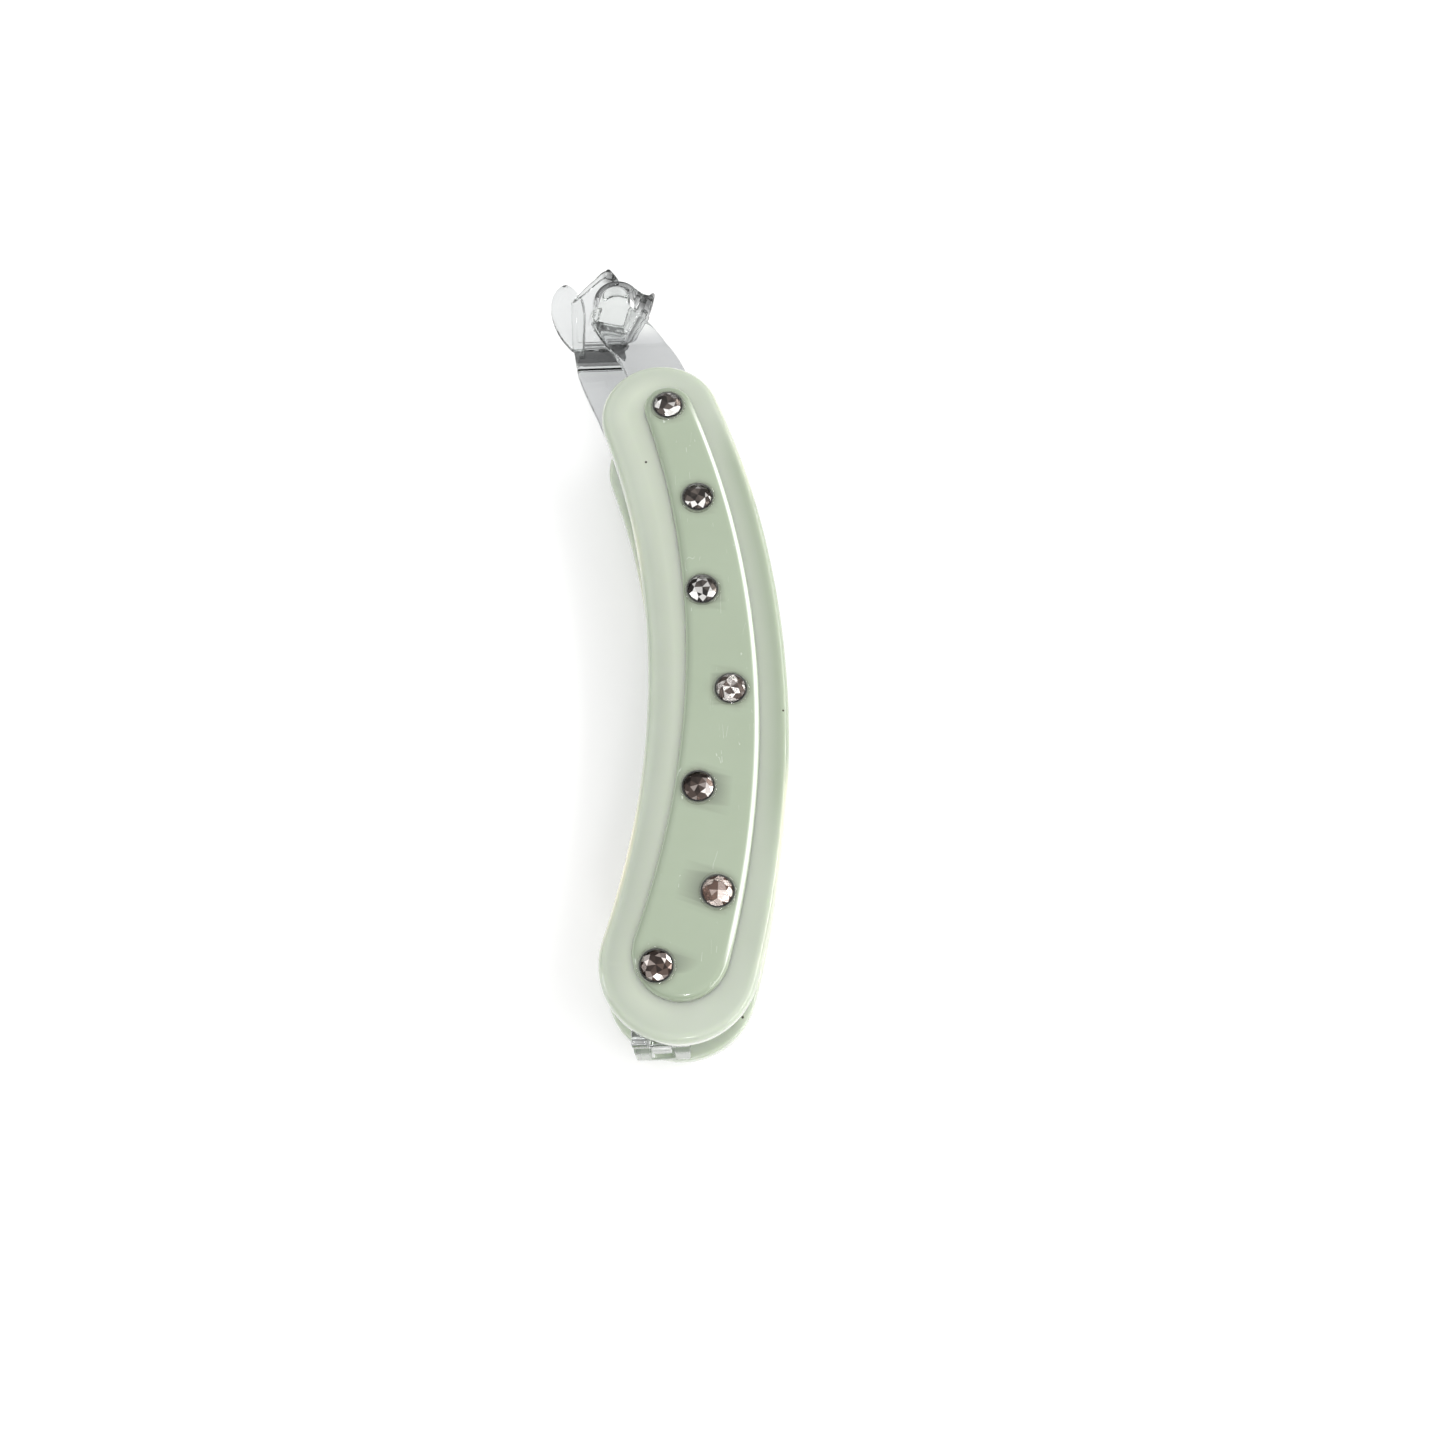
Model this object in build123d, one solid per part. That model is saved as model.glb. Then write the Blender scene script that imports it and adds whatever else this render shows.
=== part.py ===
from build123d import *
import math
import os

# A banana clip, the long hair clip with two curved arms, lying on its side and closed.
# The rear arm is below and the front arm above it, and the two are mirror images about z = 0
# apart from the hinge, the teeth and the latch. While it is modelled, X points to the convex side,
# Y from the hinge to the latch, and Z from the rear arm to the front arm. At the end everything is
# moved so that the origin is under the middle of the whole clip. All sizes are in millimetres.

# Outline of an arm, seen from its face: two end rounds joined by two long arcs
SPINE_CENTRE_X = -132.0      # centre of the arc that both arms follow, on the concave side
CONVEX_RADIUS = 150.0
CONCAVE_RADIUS = 128.7
LATCH_END_Y = 44.2           # centre of the end round at the latch
HINGE_END_Y = -43.5          # centre of the end round at the hinge
LATCH_END_ROUND = 9.5
HINGE_END_ROUND = 11.2

# Layers, from the middle of the clip outwards
HAIR_GAP = 10.0              # between the rails of the two combs
RAIL_THICKNESS = 2.0
PLATE_THICKNESS = 3.0
OVERLAY_THICKNESS = 2.0
PLATE_OUTER_ROUNDING = 1.2
PLATE_INNER_ROUNDING = 0.5
OVERLAY_ROUNDING = 1.0

# Overlay, set in from the edge of its plate
CONVEX_MARGIN = 5.0
CONCAVE_MARGIN = 5.3
LATCH_END_MARGIN = 5.7
HINGE_END_MARGIN = 4.4
LATCH_END_SIDESTEP = 1.3     # how far the overlay's end round lies towards the convex side
HINGE_END_SETBACK = 1.1      # how far the overlay's other end round lies inside the plate's

# Rhinestones: (share of the way from the hinge end round to the latch one, step to the convex side)
STONE_PLACES = [
    (0.999, 1.2), (0.811, 0.9), (0.635, -1.2), (0.449, 1.9), (0.276, -2.1), (0.112, 2.95), (-0.02, -2.6),
]
STONE_RADIUS = 2.15
STONE_HEIGHT = 1.9
STONE_FACETS = 8
TABLE_RADIUS = 1.2
GIRDLE_HEIGHT = 1.35         # height of the stone's round belt above its flat back
POCKET_DEPTH = 1.15
GLUE_GAP = 0.15              # between the stone and the wall of its pocket
BEAD_RADIUS = 2.7            # outer radius of the bead of glue round a stone
BEAD_HEIGHT = 0.2
BEAD_FULLNESS = 0.8          # share of its height that the bead still has halfway out

# Combs
RAIL_WIDTH = 8.0
TOOTH_PITCH = 9.0
TOOTH_ROOT = (3.6, 2.0)      # across and along the arm
TOOTH_TIP = (2.0, 1.3)
TOOTH_TIP_ROUNDING = 0.3
TOOTH_SWAY = 1.2             # how far the tip leans to the convex side
TOOTH_ROOT_SINK = 0.6
TOOTH_TIP_GAP = 0.9          # between a tooth's tip and the other comb's rail
TEETH_FROM_HINGE = 17.0
TEETH_FROM_LATCH = 14.0      # from the centre of the latch end round back to the last tooth

# Hinge, its pin along X
HINGE_SIDESTEP = 0.2         # hinge centre from the arms' centre line
HINGE_INSET = 0.2            # from the end of the plates to the barrel
BARREL_RADIUS = 2.4
HINGE_WIDTH = 8.0
MIDDLE_KNUCKLE = 3.0
KNUCKLE_GAP = 0.1
PIN_RADIUS = 0.6
PIN_RUNNING_GAP = 0.05
PIN_PROUD = 0.3

# Latch. Its points are (x, y) steps from the centre of the latch end round
LATCH_PLATE_TOP = 0.0        # z of the catch plate's upper face
CATCH_THICKNESS = 2.0
STRIP_LEFT = [(-3.2, -10.2), (-7.8, -1.2), (-10.1, 6.2), (-11.8, 11.0), (-13.4, 15.1), (-14.8, 19.7)]
STRIP_RIGHT = [(-6.1, 19.7), (-5.7, 12.8), (-1.7, 1.8), (2.8, -6.2)]
CATCH_FRONT = [(-14.8, 20.0), (-6.1, 20.0)]
CATCH_RIGHT = [(-6.1, 20.0), (-4.1, 23.0), (-3.0, 25.3), (-1.1, 28.4), (-0.5, 30.4)]
CATCH_SCALLOP = [(-0.5, 30.4), (-2.4, 30.4), (-3.9, 31.8), (-6.8, 34.1)]
CATCH_LIP = [(-6.8, 34.1), (-7.7, 35.6), (-9.1, 36.4), (-10.4, 35.4), (-12.8, 32.6), (-15.2, 30.2)]
CATCH_LEFT = [(-15.2, 30.2), (-15.0, 24.0), (-14.8, 20.0)]
WING = [
    (-14.9, 21.8), (-16.8, 24.7), (-18.3, 28.2), (-19.0, 31.3), (-18.1, 34.2), (-16.3, 35.4),
    (-14.5, 33.8), (-13.2, 29.8), (-13.4, 22.8),
]
WING_DROP = 4.0              # from the catch plate's upper face to the wing's lower face
WING_THICKNESS = 1.8
SIDE_WALL = 1.6
FRONT_WALL = 1.5
RIM_WIDTH = 1.4
RIM_DEPTH = 3.4
FLEX_BEAD_RADIUS = 1.0       # the bead at the foot of the catch, about which it bends
FLEX_BEAD_GAP = 0.05
FLEX_BEAD_SETBACK = 0.4      # from the face of the catch's front wall to the middle of its bead
BEAD_SEAT_OVERRUN = 2.0      # how far the bead's seat runs past the strip at each side
FOOT_REACH = 0.2             # how far the wall's foot stands out in front of the bead's middle
FOOT_LAP = 0.1               # how far the foot goes up into the wall
LIP_NUB_RADIUS = 1.0
LIP_NUB_STEP = (-8.9, 35.2)
LIP_NUB_RISE = 1.0

# Tongue of the front comb and its hook, which goes down through the catch's window
TONGUE_THICKNESS = 1.5
TONGUE_GAP = 1.1             # between the tongue and the catch plate, which rises as it bends
TONGUE_RIGHT = [(5.2, -4.0), (5.2, 5.8), (3.4, 13.6), (0.5, 20.0), (-2.2, 23.8), (-5.1, 27.0)]
TONGUE_LEFT = [(-11.2, 26.4), (-11.5, 24.4), (-9.8, 20.2), (-6.8, 14.4), (-4.6, 5.8), (-3.8, -4.0)]
TONGUE_BEND_ROUNDING = 1.3
TONGUE_BENDS_Y = (7.6, 19.0)  # where it leaves the rail's level and where it reaches the catch's
HOOK_CENTRE = (-7.4, 28.6)
HOOK_TILT = 15.0             # degrees that the hook leans to the convex side
HOOK_RADIUS = 2.5
HOOK_LENGTH = 4.8            # from the centre of its round end to its straight side
HOOK_ROUNDING = 0.8
BARB_DEPTH = 0.65
BARB_HEIGHT = 1.4
BARB_EDGE = 0.45             # height of the barb's straight edge
BARB_GAP = 0.1
WINDOW_SIDE_GAP = 0.4
WINDOW_END_GAP = 1.25
WINDOW_FRONT_GAP = 0.2

# Values that follow from the ones above
SPINE_RADIUS = (CONVEX_RADIUS + CONCAVE_RADIUS) / 2
RAIL_Z = HAIR_GAP / 2
PLATE_Z = RAIL_Z + RAIL_THICKNESS
OVERLAY_Z = PLATE_Z + PLATE_THICKNESS
FACE_Z = OVERLAY_Z + OVERLAY_THICKNESS
HINGE_Y = HINGE_END_Y - HINGE_END_ROUND + HINGE_INSET + BARREL_RADIUS


def spine_point(y, step=0.0):
    """Point of the arms' centre line at y, moved by step towards the convex side."""
    x = SPINE_CENTRE_X + math.sqrt(SPINE_RADIUS ** 2 - y ** 2)
    outward = Vector(x - SPINE_CENTRE_X, y).normalized()
    return Vector(x, y) + outward * step


LATCH_BASE = spine_point(LATCH_END_Y)
HINGE_X = spine_point(HINGE_Y).X + HINGE_SIDESTEP
FLEX_AXIS_Y = LATCH_BASE.Y + CATCH_FRONT[0][1] + FLEX_BEAD_SETBACK
FLEX_AXIS_Z = -RAIL_Z - RAIL_THICKNESS / 2
STANDING = (Align.CENTER, Align.CENTER, Align.MIN)
FROM_CORNER = (Align.MIN, Align.MIN, Align.MIN)


def latch_points(steps):
    """Points in the arms' frame from steps given from the latch end round's centre."""
    return [LATCH_BASE + Vector(x, y) for x, y in steps]


def arc_centre(first, second, reach_first, reach_second):
    """The point on the concave side that lies at the given distances from two points."""
    between = second - first
    span = between.length
    along = (reach_first ** 2 - reach_second ** 2 + span ** 2) / (2 * span)
    away = math.sqrt(reach_first ** 2 - along ** 2)
    sideways = Vector(-between.Y, between.X) / span
    candidates = [first + between * (along / span) + sideways * sign * away for sign in (-1, 1)]
    return min(candidates, key=lambda point: point.X)


def turn_arc(centre, start, end):
    """Arc about centre, anticlockwise from start to end."""
    first = math.atan2(start.Y - centre.Y, start.X - centre.X)
    last = math.atan2(end.Y - centre.Y, end.X - centre.X)
    if last < first:
        last += 2 * math.pi
    middle = (first + last) / 2
    radius = (start - centre).length
    return ThreePointArc(start, centre + Vector(math.cos(middle), math.sin(middle)) * radius, end)


def banana_face(latch_end, hinge_end, latch_round, hinge_round, convex, concave):
    """A banana outline: two end rounds and the two arcs that touch them both."""
    outer = arc_centre(latch_end, hinge_end, convex - latch_round, convex - hinge_round)
    inner = arc_centre(latch_end, hinge_end, concave + latch_round, concave + hinge_round)
    right_low = outer + (hinge_end - outer).normalized() * convex
    right_high = outer + (latch_end - outer).normalized() * convex
    left_high = inner + (latch_end - inner).normalized() * concave
    left_low = inner + (hinge_end - inner).normalized() * concave
    return make_face([
        turn_arc(outer, right_low, right_high),
        turn_arc(latch_end, right_high, left_high),
        turn_arc(inner, left_low, left_high),
        turn_arc(hinge_end, left_low, right_low),
    ])


def plate():
    outline = banana_face(
        spine_point(LATCH_END_Y), spine_point(HINGE_END_Y),
        LATCH_END_ROUND, HINGE_END_ROUND, CONVEX_RADIUS, CONCAVE_RADIUS,
    )
    body = Pos(0, 0, PLATE_Z) * extrude(outline, PLATE_THICKNESS)
    body = fillet(body.faces().sort_by(Axis.Z)[-1].edges(), PLATE_OUTER_ROUNDING)
    return fillet(body.faces().sort_by(Axis.Z)[0].edges(), PLATE_INNER_ROUNDING)


def stone_points():
    length = LATCH_END_Y - HINGE_END_Y
    return [spine_point(HINGE_END_Y + share * length, step) for share, step in STONE_PLACES]


def overlay():
    """The raised plate, with a round pocket for each stone."""
    outline = banana_face(
        spine_point(LATCH_END_Y, LATCH_END_SIDESTEP), spine_point(HINGE_END_Y + HINGE_END_SETBACK),
        LATCH_END_ROUND - LATCH_END_MARGIN, HINGE_END_ROUND - HINGE_END_MARGIN,
        CONVEX_RADIUS - CONVEX_MARGIN, CONCAVE_RADIUS + CONCAVE_MARGIN,
    )
    body = Pos(0, 0, OVERLAY_Z) * extrude(outline, OVERLAY_THICKNESS)
    body = fillet(body.faces().sort_by(Axis.Z)[-1].edges(), OVERLAY_ROUNDING)
    for place in stone_points():
        floor = Pos(place.X, place.Y, FACE_Z - POCKET_DEPTH)
        body -= floor * Cylinder(STONE_RADIUS + GLUE_GAP, POCKET_DEPTH + OVERLAY_THICKNESS, align=STANDING)
    return body


def rhinestone(place):
    """A flat-backed stone: a round belt, a ring of sloping facets and a flat table."""
    belt = Cylinder(STONE_RADIUS, STONE_HEIGHT, align=STANDING)
    half_side = math.cos(math.pi / STONE_FACETS)
    girdle = Pos(0, 0, GIRDLE_HEIGHT) * RegularPolygon(STONE_RADIUS / half_side, STONE_FACETS)
    table = Pos(0, 0, STONE_HEIGHT) * RegularPolygon(TABLE_RADIUS, STONE_FACETS)
    back = RegularPolygon(STONE_RADIUS / half_side, STONE_FACETS)
    crystal = loft([girdle, table], ruled=True) + extrude(back, GIRDLE_HEIGHT)
    return Pos(place.X, place.Y, FACE_Z - POCKET_DEPTH) * (belt & crystal)


def adhesive_ring(place):
    """Clear glue that fills the pocket round a stone and swells a little above the overlay."""
    wall = STONE_RADIUS + GLUE_GAP
    shoulder = ((STONE_RADIUS + BEAD_RADIUS) / 2, BEAD_HEIGHT * BEAD_FULLNESS)
    profile = make_face([
        Polyline((BEAD_RADIUS, 0), (wall, 0), (wall, -POCKET_DEPTH), (STONE_RADIUS, -POCKET_DEPTH),
                 (STONE_RADIUS, BEAD_HEIGHT)),
        ThreePointArc((STONE_RADIUS, BEAD_HEIGHT), shoulder, (BEAD_RADIUS, 0)),
    ])
    ring = revolve(Plane.XZ * profile, Axis.Z)
    return Pos(place.X, place.Y, FACE_Z) * ring


def rail():
    """The straight-sided band of a comb, under the plate and along the arms' centre line."""
    half = RAIL_WIDTH / 2
    outline = banana_face(
        spine_point(LATCH_END_Y), spine_point(HINGE_END_Y),
        half, half, SPINE_RADIUS + half, SPINE_RADIUS - half,
    )
    return Pos(0, 0, RAIL_Z) * extrude(outline, RAIL_THICKNESS)


def tooth(y):
    """A curved, tapering tooth that hangs from the front rail towards the rear comb."""
    root = spine_point(y)
    turn = math.degrees(math.atan2(root.Y, root.X - SPINE_CENTRE_X))
    root_z = RAIL_Z + TOOTH_ROOT_SINK
    tip_z = -RAIL_Z + TOOTH_TIP_GAP
    sections = []
    for share in (0.0, 0.5, 1.0):
        across = TOOTH_ROOT[0] + (TOOTH_TIP[0] - TOOTH_ROOT[0]) * share
        along = TOOTH_ROOT[1] + (TOOTH_TIP[1] - TOOTH_ROOT[1]) * share
        level = Plane((TOOTH_SWAY * share ** 2, 0, root_z + (tip_z - root_z) * share))
        sections.append(level * Ellipse(across / 2, along / 2))
    shape = loft(sections)
    shape = fillet(shape.faces().sort_by(Axis.Z)[0].edges(), TOOTH_TIP_ROUNDING)
    return Pos(root.X, root.Y, 0) * Rot(0, 0, turn) * shape


def teeth(offset):
    """A row of teeth, all on the front side; offset moves the row by a share of the pitch."""
    first = HINGE_Y + TEETH_FROM_HINGE + offset * TOOTH_PITCH
    last = LATCH_END_Y - TEETH_FROM_LATCH
    count = int((last - first) / TOOTH_PITCH) + 1
    return [tooth(first + index * TOOTH_PITCH) for index in range(count)]


def along_x(radius, length):
    """A cylinder on the hinge's axis."""
    return Pos(HINGE_X, HINGE_Y, 0) * Rot(0, 90, 0) * Cylinder(radius, length)


def hinge_foot():
    """The flat end of a front rail over the hinge."""
    reach = HINGE_END_Y - (HINGE_Y - BARREL_RADIUS)
    slab = Box(HINGE_WIDTH, reach, RAIL_THICKNESS, align=(Align.CENTER, Align.MIN, Align.MIN))
    return Pos(HINGE_X, HINGE_Y - BARREL_RADIUS, RAIL_Z) * slab


def knuckle(centre, width):
    """A barrel on the hinge's axis with the block that joins it to the front rail."""
    block = Box(width, 2 * BARREL_RADIUS, PLATE_Z, align=(Align.CENTER, Align.CENTER, Align.MIN))
    barrel = Pos(centre, 0, 0) * along_x(BARREL_RADIUS, width)
    return barrel + Pos(HINGE_X + centre, HINGE_Y, 0) * block


def outer_knuckles():
    width = (HINGE_WIDTH - MIDDLE_KNUCKLE) / 2 - KNUCKLE_GAP
    centre = (HINGE_WIDTH - width) / 2
    return [knuckle(-centre, width), knuckle(centre, width)]


def hinge_pin():
    pin = along_x(PIN_RADIUS, HINGE_WIDTH + 2 * PIN_PROUD)
    return fillet(pin.edges().filter_by(GeomType.CIRCLE), PIN_PROUD / 2)


def flat_shape(lines, low, high):
    """A solid between two heights from the lines round its outline."""
    return Pos(0, 0, low) * extrude(make_face(lines), high - low)


def hook_frame():
    x, y = HOOK_CENTRE
    return Pos(LATCH_BASE.X + x, LATCH_BASE.Y + y, 0) * Rot(0, 0, -HOOK_TILT)


def arch(radius, round_centre, straight_side, low, high):
    """A block with one round end and one straight side, in the hook's own frame."""
    outline = make_face([
        Polyline((-radius, round_centre), (-radius, straight_side), (radius, straight_side),
                 (radius, round_centre)),
        ThreePointArc((radius, round_centre), (0, round_centre + radius), (-radius, round_centre)),
    ])
    return hook_frame() * Pos(0, 0, low) * extrude(outline, high - low)


def tongue_side():
    """Side view of the tongue, from the rail's level down to just above the catch."""
    bend_start, bend_end = [LATCH_BASE.Y + y for y in TONGUE_BENDS_Y]
    low = LATCH_PLATE_TOP + TONGUE_GAP
    start, far = LATCH_BASE.Y + TONGUE_RIGHT[0][1], LATCH_BASE.Y + TONGUE_RIGHT[-1][1] + HOOK_RADIUS
    outline = make_face(Polyline(
        (start, RAIL_Z), (bend_start, RAIL_Z), (bend_end, low), (far, low),
        (far, low + TONGUE_THICKNESS), (bend_end, low + TONGUE_THICKNESS),
        (bend_start, PLATE_Z), (start, PLATE_Z), close=True,
    ))
    width = CONVEX_RADIUS - CONCAVE_RADIUS
    slab = Pos(-width, 0, 0) * extrude(Plane.YZ * outline, 2 * width)
    first, last = bend_start - TONGUE_BEND_ROUNDING, bend_end + TONGUE_BEND_ROUNDING
    across = slab.edges().filter_by(Axis.X)
    bends = across.filter_by(lambda edge: first < edge.center().Y < last)
    return fillet(bends, TONGUE_BEND_ROUNDING)


def tongue():
    """The strip that carries the hook, seen from above a tapering spline outline."""
    right, left = latch_points(TONGUE_RIGHT), latch_points(TONGUE_LEFT)
    lines = [Spline(*right), Line(right[-1], left[0]), Spline(*left), Line(left[-1], right[0])]
    return flat_shape(lines, 0, PLATE_Z) & tongue_side()


def hook():
    """The block that goes through the catch's window, and the barb at its foot."""
    top = LATCH_PLATE_TOP + TONGUE_GAP + TONGUE_THICKNESS
    under = LATCH_PLATE_TOP - CATCH_THICKNESS - BARB_GAP
    stem = arch(HOOK_RADIUS, 0, -HOOK_LENGTH, under - BARB_HEIGHT, top)
    stem = fillet(stem.faces().sort_by(Axis.Z)[-1].edges(), HOOK_ROUNDING)
    slope = make_face(Polyline(
        (-HOOK_LENGTH, under), (-HOOK_LENGTH - BARB_DEPTH, under),
        (-HOOK_LENGTH - BARB_DEPTH, under - BARB_EDGE), (-HOOK_LENGTH, under - BARB_HEIGHT),
        close=True,
    ))
    width = 2 * (HOOK_RADIUS - WINDOW_SIDE_GAP)
    barb = hook_frame() * Pos(-width / 2, 0, 0) * extrude(Plane.YZ * slope, width)
    return stem + barb


def front_comb():
    body = rail() + hinge_foot() + knuckle(0, MIDDLE_KNUCKLE) + tongue() + hook()
    for one in teeth(0.5):
        body += one
    return body - along_x(PIN_RADIUS + PIN_RUNNING_GAP, HINGE_WIDTH)


def latch_strip():
    """The flat strip of the rear comb that reaches the catch, with the seat for its bead."""
    left, right = latch_points(STRIP_LEFT), latch_points(STRIP_RIGHT)
    lines = [Spline(*left), Line(left[-1], right[0]), Spline(*right), Line(right[-1], left[0])]
    strip = flat_shape(lines, -PLATE_Z, -RAIL_Z)
    return strip - flex_bead(FLEX_BEAD_RADIUS + FLEX_BEAD_GAP, BEAD_SEAT_OVERRUN)


def flex_bead(radius, overrun=0.0):
    """The round bead along the foot of the catch; overrun makes it longer at both ends."""
    left, right = latch_points(CATCH_FRONT)
    bead = Rot(0, 90, 0) * Cylinder(radius, right.X - left.X + 2 * overrun)
    return Pos((left.X + right.X) / 2, FLEX_AXIS_Y, FLEX_AXIS_Z) * bead


def rear_comb():
    body = mirror(rail() + hinge_foot(), about=Plane.XY)
    for one in outer_knuckles() + teeth(0.0):
        body += mirror(one, about=Plane.XY)
    return body + latch_strip() - along_x(PIN_RADIUS, HINGE_WIDTH)


def catch_outline():
    return [
        Line(*latch_points(CATCH_FRONT)), Spline(*latch_points(CATCH_RIGHT)),
        Spline(*latch_points(CATCH_SCALLOP)), Spline(*latch_points(CATCH_LIP)),
        Spline(*latch_points(CATCH_LEFT)),
    ]


def latch_catch():
    """The flared end of the rear arm: a plate with a window on a wall, a rim, a wing and a lip."""
    top = LATCH_PLATE_TOP
    cover = flat_shape(catch_outline(), top - CATCH_THICKNESS, top)
    skirt = flat_shape(catch_outline(), top - WING_DROP, top - CATCH_THICKNESS / 2)
    left, right = latch_points(CATCH_FRONT)
    upper_left = latch_points(CATCH_LEFT)[0]
    side = Pos(upper_left.X, left.Y, top - WING_DROP) * Box(
        SIDE_WALL + left.X - upper_left.X, upper_left.Y - left.Y - SIDE_WALL, WING_DROP, align=FROM_CORNER)
    front = Pos(left.X, left.Y, FLEX_AXIS_Z + FLEX_BEAD_RADIUS) * Box(
        right.X - left.X, FRONT_WALL, top - FLEX_AXIS_Z - FLEX_BEAD_RADIUS, align=FROM_CORNER)
    foot = Pos(left.X, FLEX_AXIS_Y - FOOT_REACH, FLEX_AXIS_Z) * Box(
        right.X - left.X, FLEX_BEAD_RADIUS, FLEX_BEAD_RADIUS + FOOT_LAP, align=FROM_CORNER)
    rim_line = latch_points(CATCH_RIGHT)
    inner_line = [point - Vector(RIM_WIDTH, 0) for point in rim_line]
    rim = flat_shape(
        [Spline(*rim_line), Line(rim_line[-1], inner_line[-1]), Spline(*inner_line[::-1]),
         Line(inner_line[0], rim_line[0])],
        top - RIM_DEPTH, top,
    )
    wing = flat_shape(
        [Spline(*latch_points(WING), periodic=True)],
        top - WING_DROP, top - WING_DROP + WING_THICKNESS,
    )
    x, y = LIP_NUB_STEP
    nub = Pos(LATCH_BASE.X + x, LATCH_BASE.Y + y, top - CATCH_THICKNESS) * Cylinder(
        LIP_NUB_RADIUS, CATCH_THICKNESS + LIP_NUB_RISE, align=STANDING)
    window = arch(
        HOOK_RADIUS + WINDOW_SIDE_GAP, WINDOW_END_GAP - WINDOW_SIDE_GAP,
        -HOOK_LENGTH - WINDOW_FRONT_GAP, top - WING_DROP, top + CATCH_THICKNESS,
    )
    body = cover + (skirt & side) + front + foot + flex_bead(FLEX_BEAD_RADIUS) + rim + wing + nub
    return body - window


def clip_parts():
    """Every piece of the clip by name."""
    parts = {
        "rear_comb": rear_comb(),
        "front_comb": front_comb(),
        "latch_catch": latch_catch(),
        "hinge_pin": hinge_pin(),
    }
    pieces = {"plate": plate(), "overlay": overlay()}
    for number, place in enumerate(stone_points(), start=1):
        pieces[f"rhinestone_{number}"] = rhinestone(place)
        pieces[f"adhesive_{number}"] = adhesive_ring(place)
    for name, piece in pieces.items():
        parts[f"front_{name}"] = piece
        parts[f"rear_{name}"] = mirror(piece, about=Plane.XY)
    return parts


def main():
    parts = clip_parts()
    box = Compound(list(parts.values())).bounding_box()
    home = Pos(-box.center().X, -box.center().Y, -box.min.Z)
    os.makedirs("parts", exist_ok=True)
    for name, piece in parts.items():
        export_step(home * piece, f"parts/{name}.step")
    print("moved by", home.position, "size", box.size)
    print("hinge axis", home.position + Vector(HINGE_X, HINGE_Y, 0))
    print("flex axis", home.position + Vector(LATCH_BASE.X + CATCH_FRONT[0][0], FLEX_AXIS_Y, FLEX_AXIS_Z))


main()
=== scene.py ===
import math
import random
from collections import namedtuple

import bmesh
import bpy
from mathutils import Matrix, Vector, noise


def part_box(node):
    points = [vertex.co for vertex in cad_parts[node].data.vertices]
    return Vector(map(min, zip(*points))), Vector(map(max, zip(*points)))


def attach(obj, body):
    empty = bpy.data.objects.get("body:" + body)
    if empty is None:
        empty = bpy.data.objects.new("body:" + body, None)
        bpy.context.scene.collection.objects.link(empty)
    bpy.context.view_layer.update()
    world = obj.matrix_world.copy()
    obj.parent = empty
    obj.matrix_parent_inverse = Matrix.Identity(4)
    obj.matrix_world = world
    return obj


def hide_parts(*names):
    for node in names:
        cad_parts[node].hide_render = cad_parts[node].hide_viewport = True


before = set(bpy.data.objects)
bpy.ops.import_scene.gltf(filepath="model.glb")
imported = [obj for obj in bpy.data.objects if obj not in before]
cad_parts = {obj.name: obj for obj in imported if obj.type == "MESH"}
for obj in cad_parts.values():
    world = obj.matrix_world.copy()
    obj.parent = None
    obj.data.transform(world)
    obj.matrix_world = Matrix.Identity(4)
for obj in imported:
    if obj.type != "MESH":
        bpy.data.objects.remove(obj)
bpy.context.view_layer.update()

# A banana clip lying on its side: rear arm below, front arm above, closed, clear latch at the +Y end.
# Shapes are worked out in the arms' own frame, in millimetres: X to the convex side, Y to the latch,
# Z up from the plane between the arms. place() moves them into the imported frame, in metres.
MM = 0.001

# Outline of an arm
SPINE_CENTRE_X = -132.0
CONVEX_RADIUS = 150.0
CONCAVE_RADIUS = 128.7
LATCH_END_Y = 44.2
HINGE_END_Y = -43.5
LATCH_END_ROUND = 9.5
HINGE_END_ROUND = 11.2
SPINE_RADIUS = (CONVEX_RADIUS + CONCAVE_RADIUS) / 2

# Overlay, set in from the edge of its plate
CONVEX_MARGIN = 5.0
CONCAVE_MARGIN = 5.3
LATCH_END_MARGIN = 5.7
HINGE_END_MARGIN = 4.4
LATCH_END_SIDESTEP = 1.3
HINGE_END_SETBACK = 1.1

# Steps round an outline
LONG_STEPS = 120
END_STEPS = 48

STONES = 7


# ---------------------------------------------------------------- frame of the arms

def spine_point(y, step=0.0):
    x = SPINE_CENTRE_X + math.sqrt(SPINE_RADIUS ** 2 - y ** 2)
    outward = Vector((x - SPINE_CENTRE_X, y)).normalized()
    return Vector((x, y)) + outward * step


def arc_centre(first, second, reach_first, reach_second):
    """The point on the concave side that lies at the given distances from two points."""
    between = second - first
    span = between.length
    along = (reach_first ** 2 - reach_second ** 2 + span ** 2) / (2 * span)
    away = math.sqrt(reach_first ** 2 - along ** 2)
    sideways = Vector((-between.y, between.x)) / span
    middle = first + between * (along / span)
    return min((middle + sideways * away, middle - sideways * away), key=lambda point: point.x)


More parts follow.
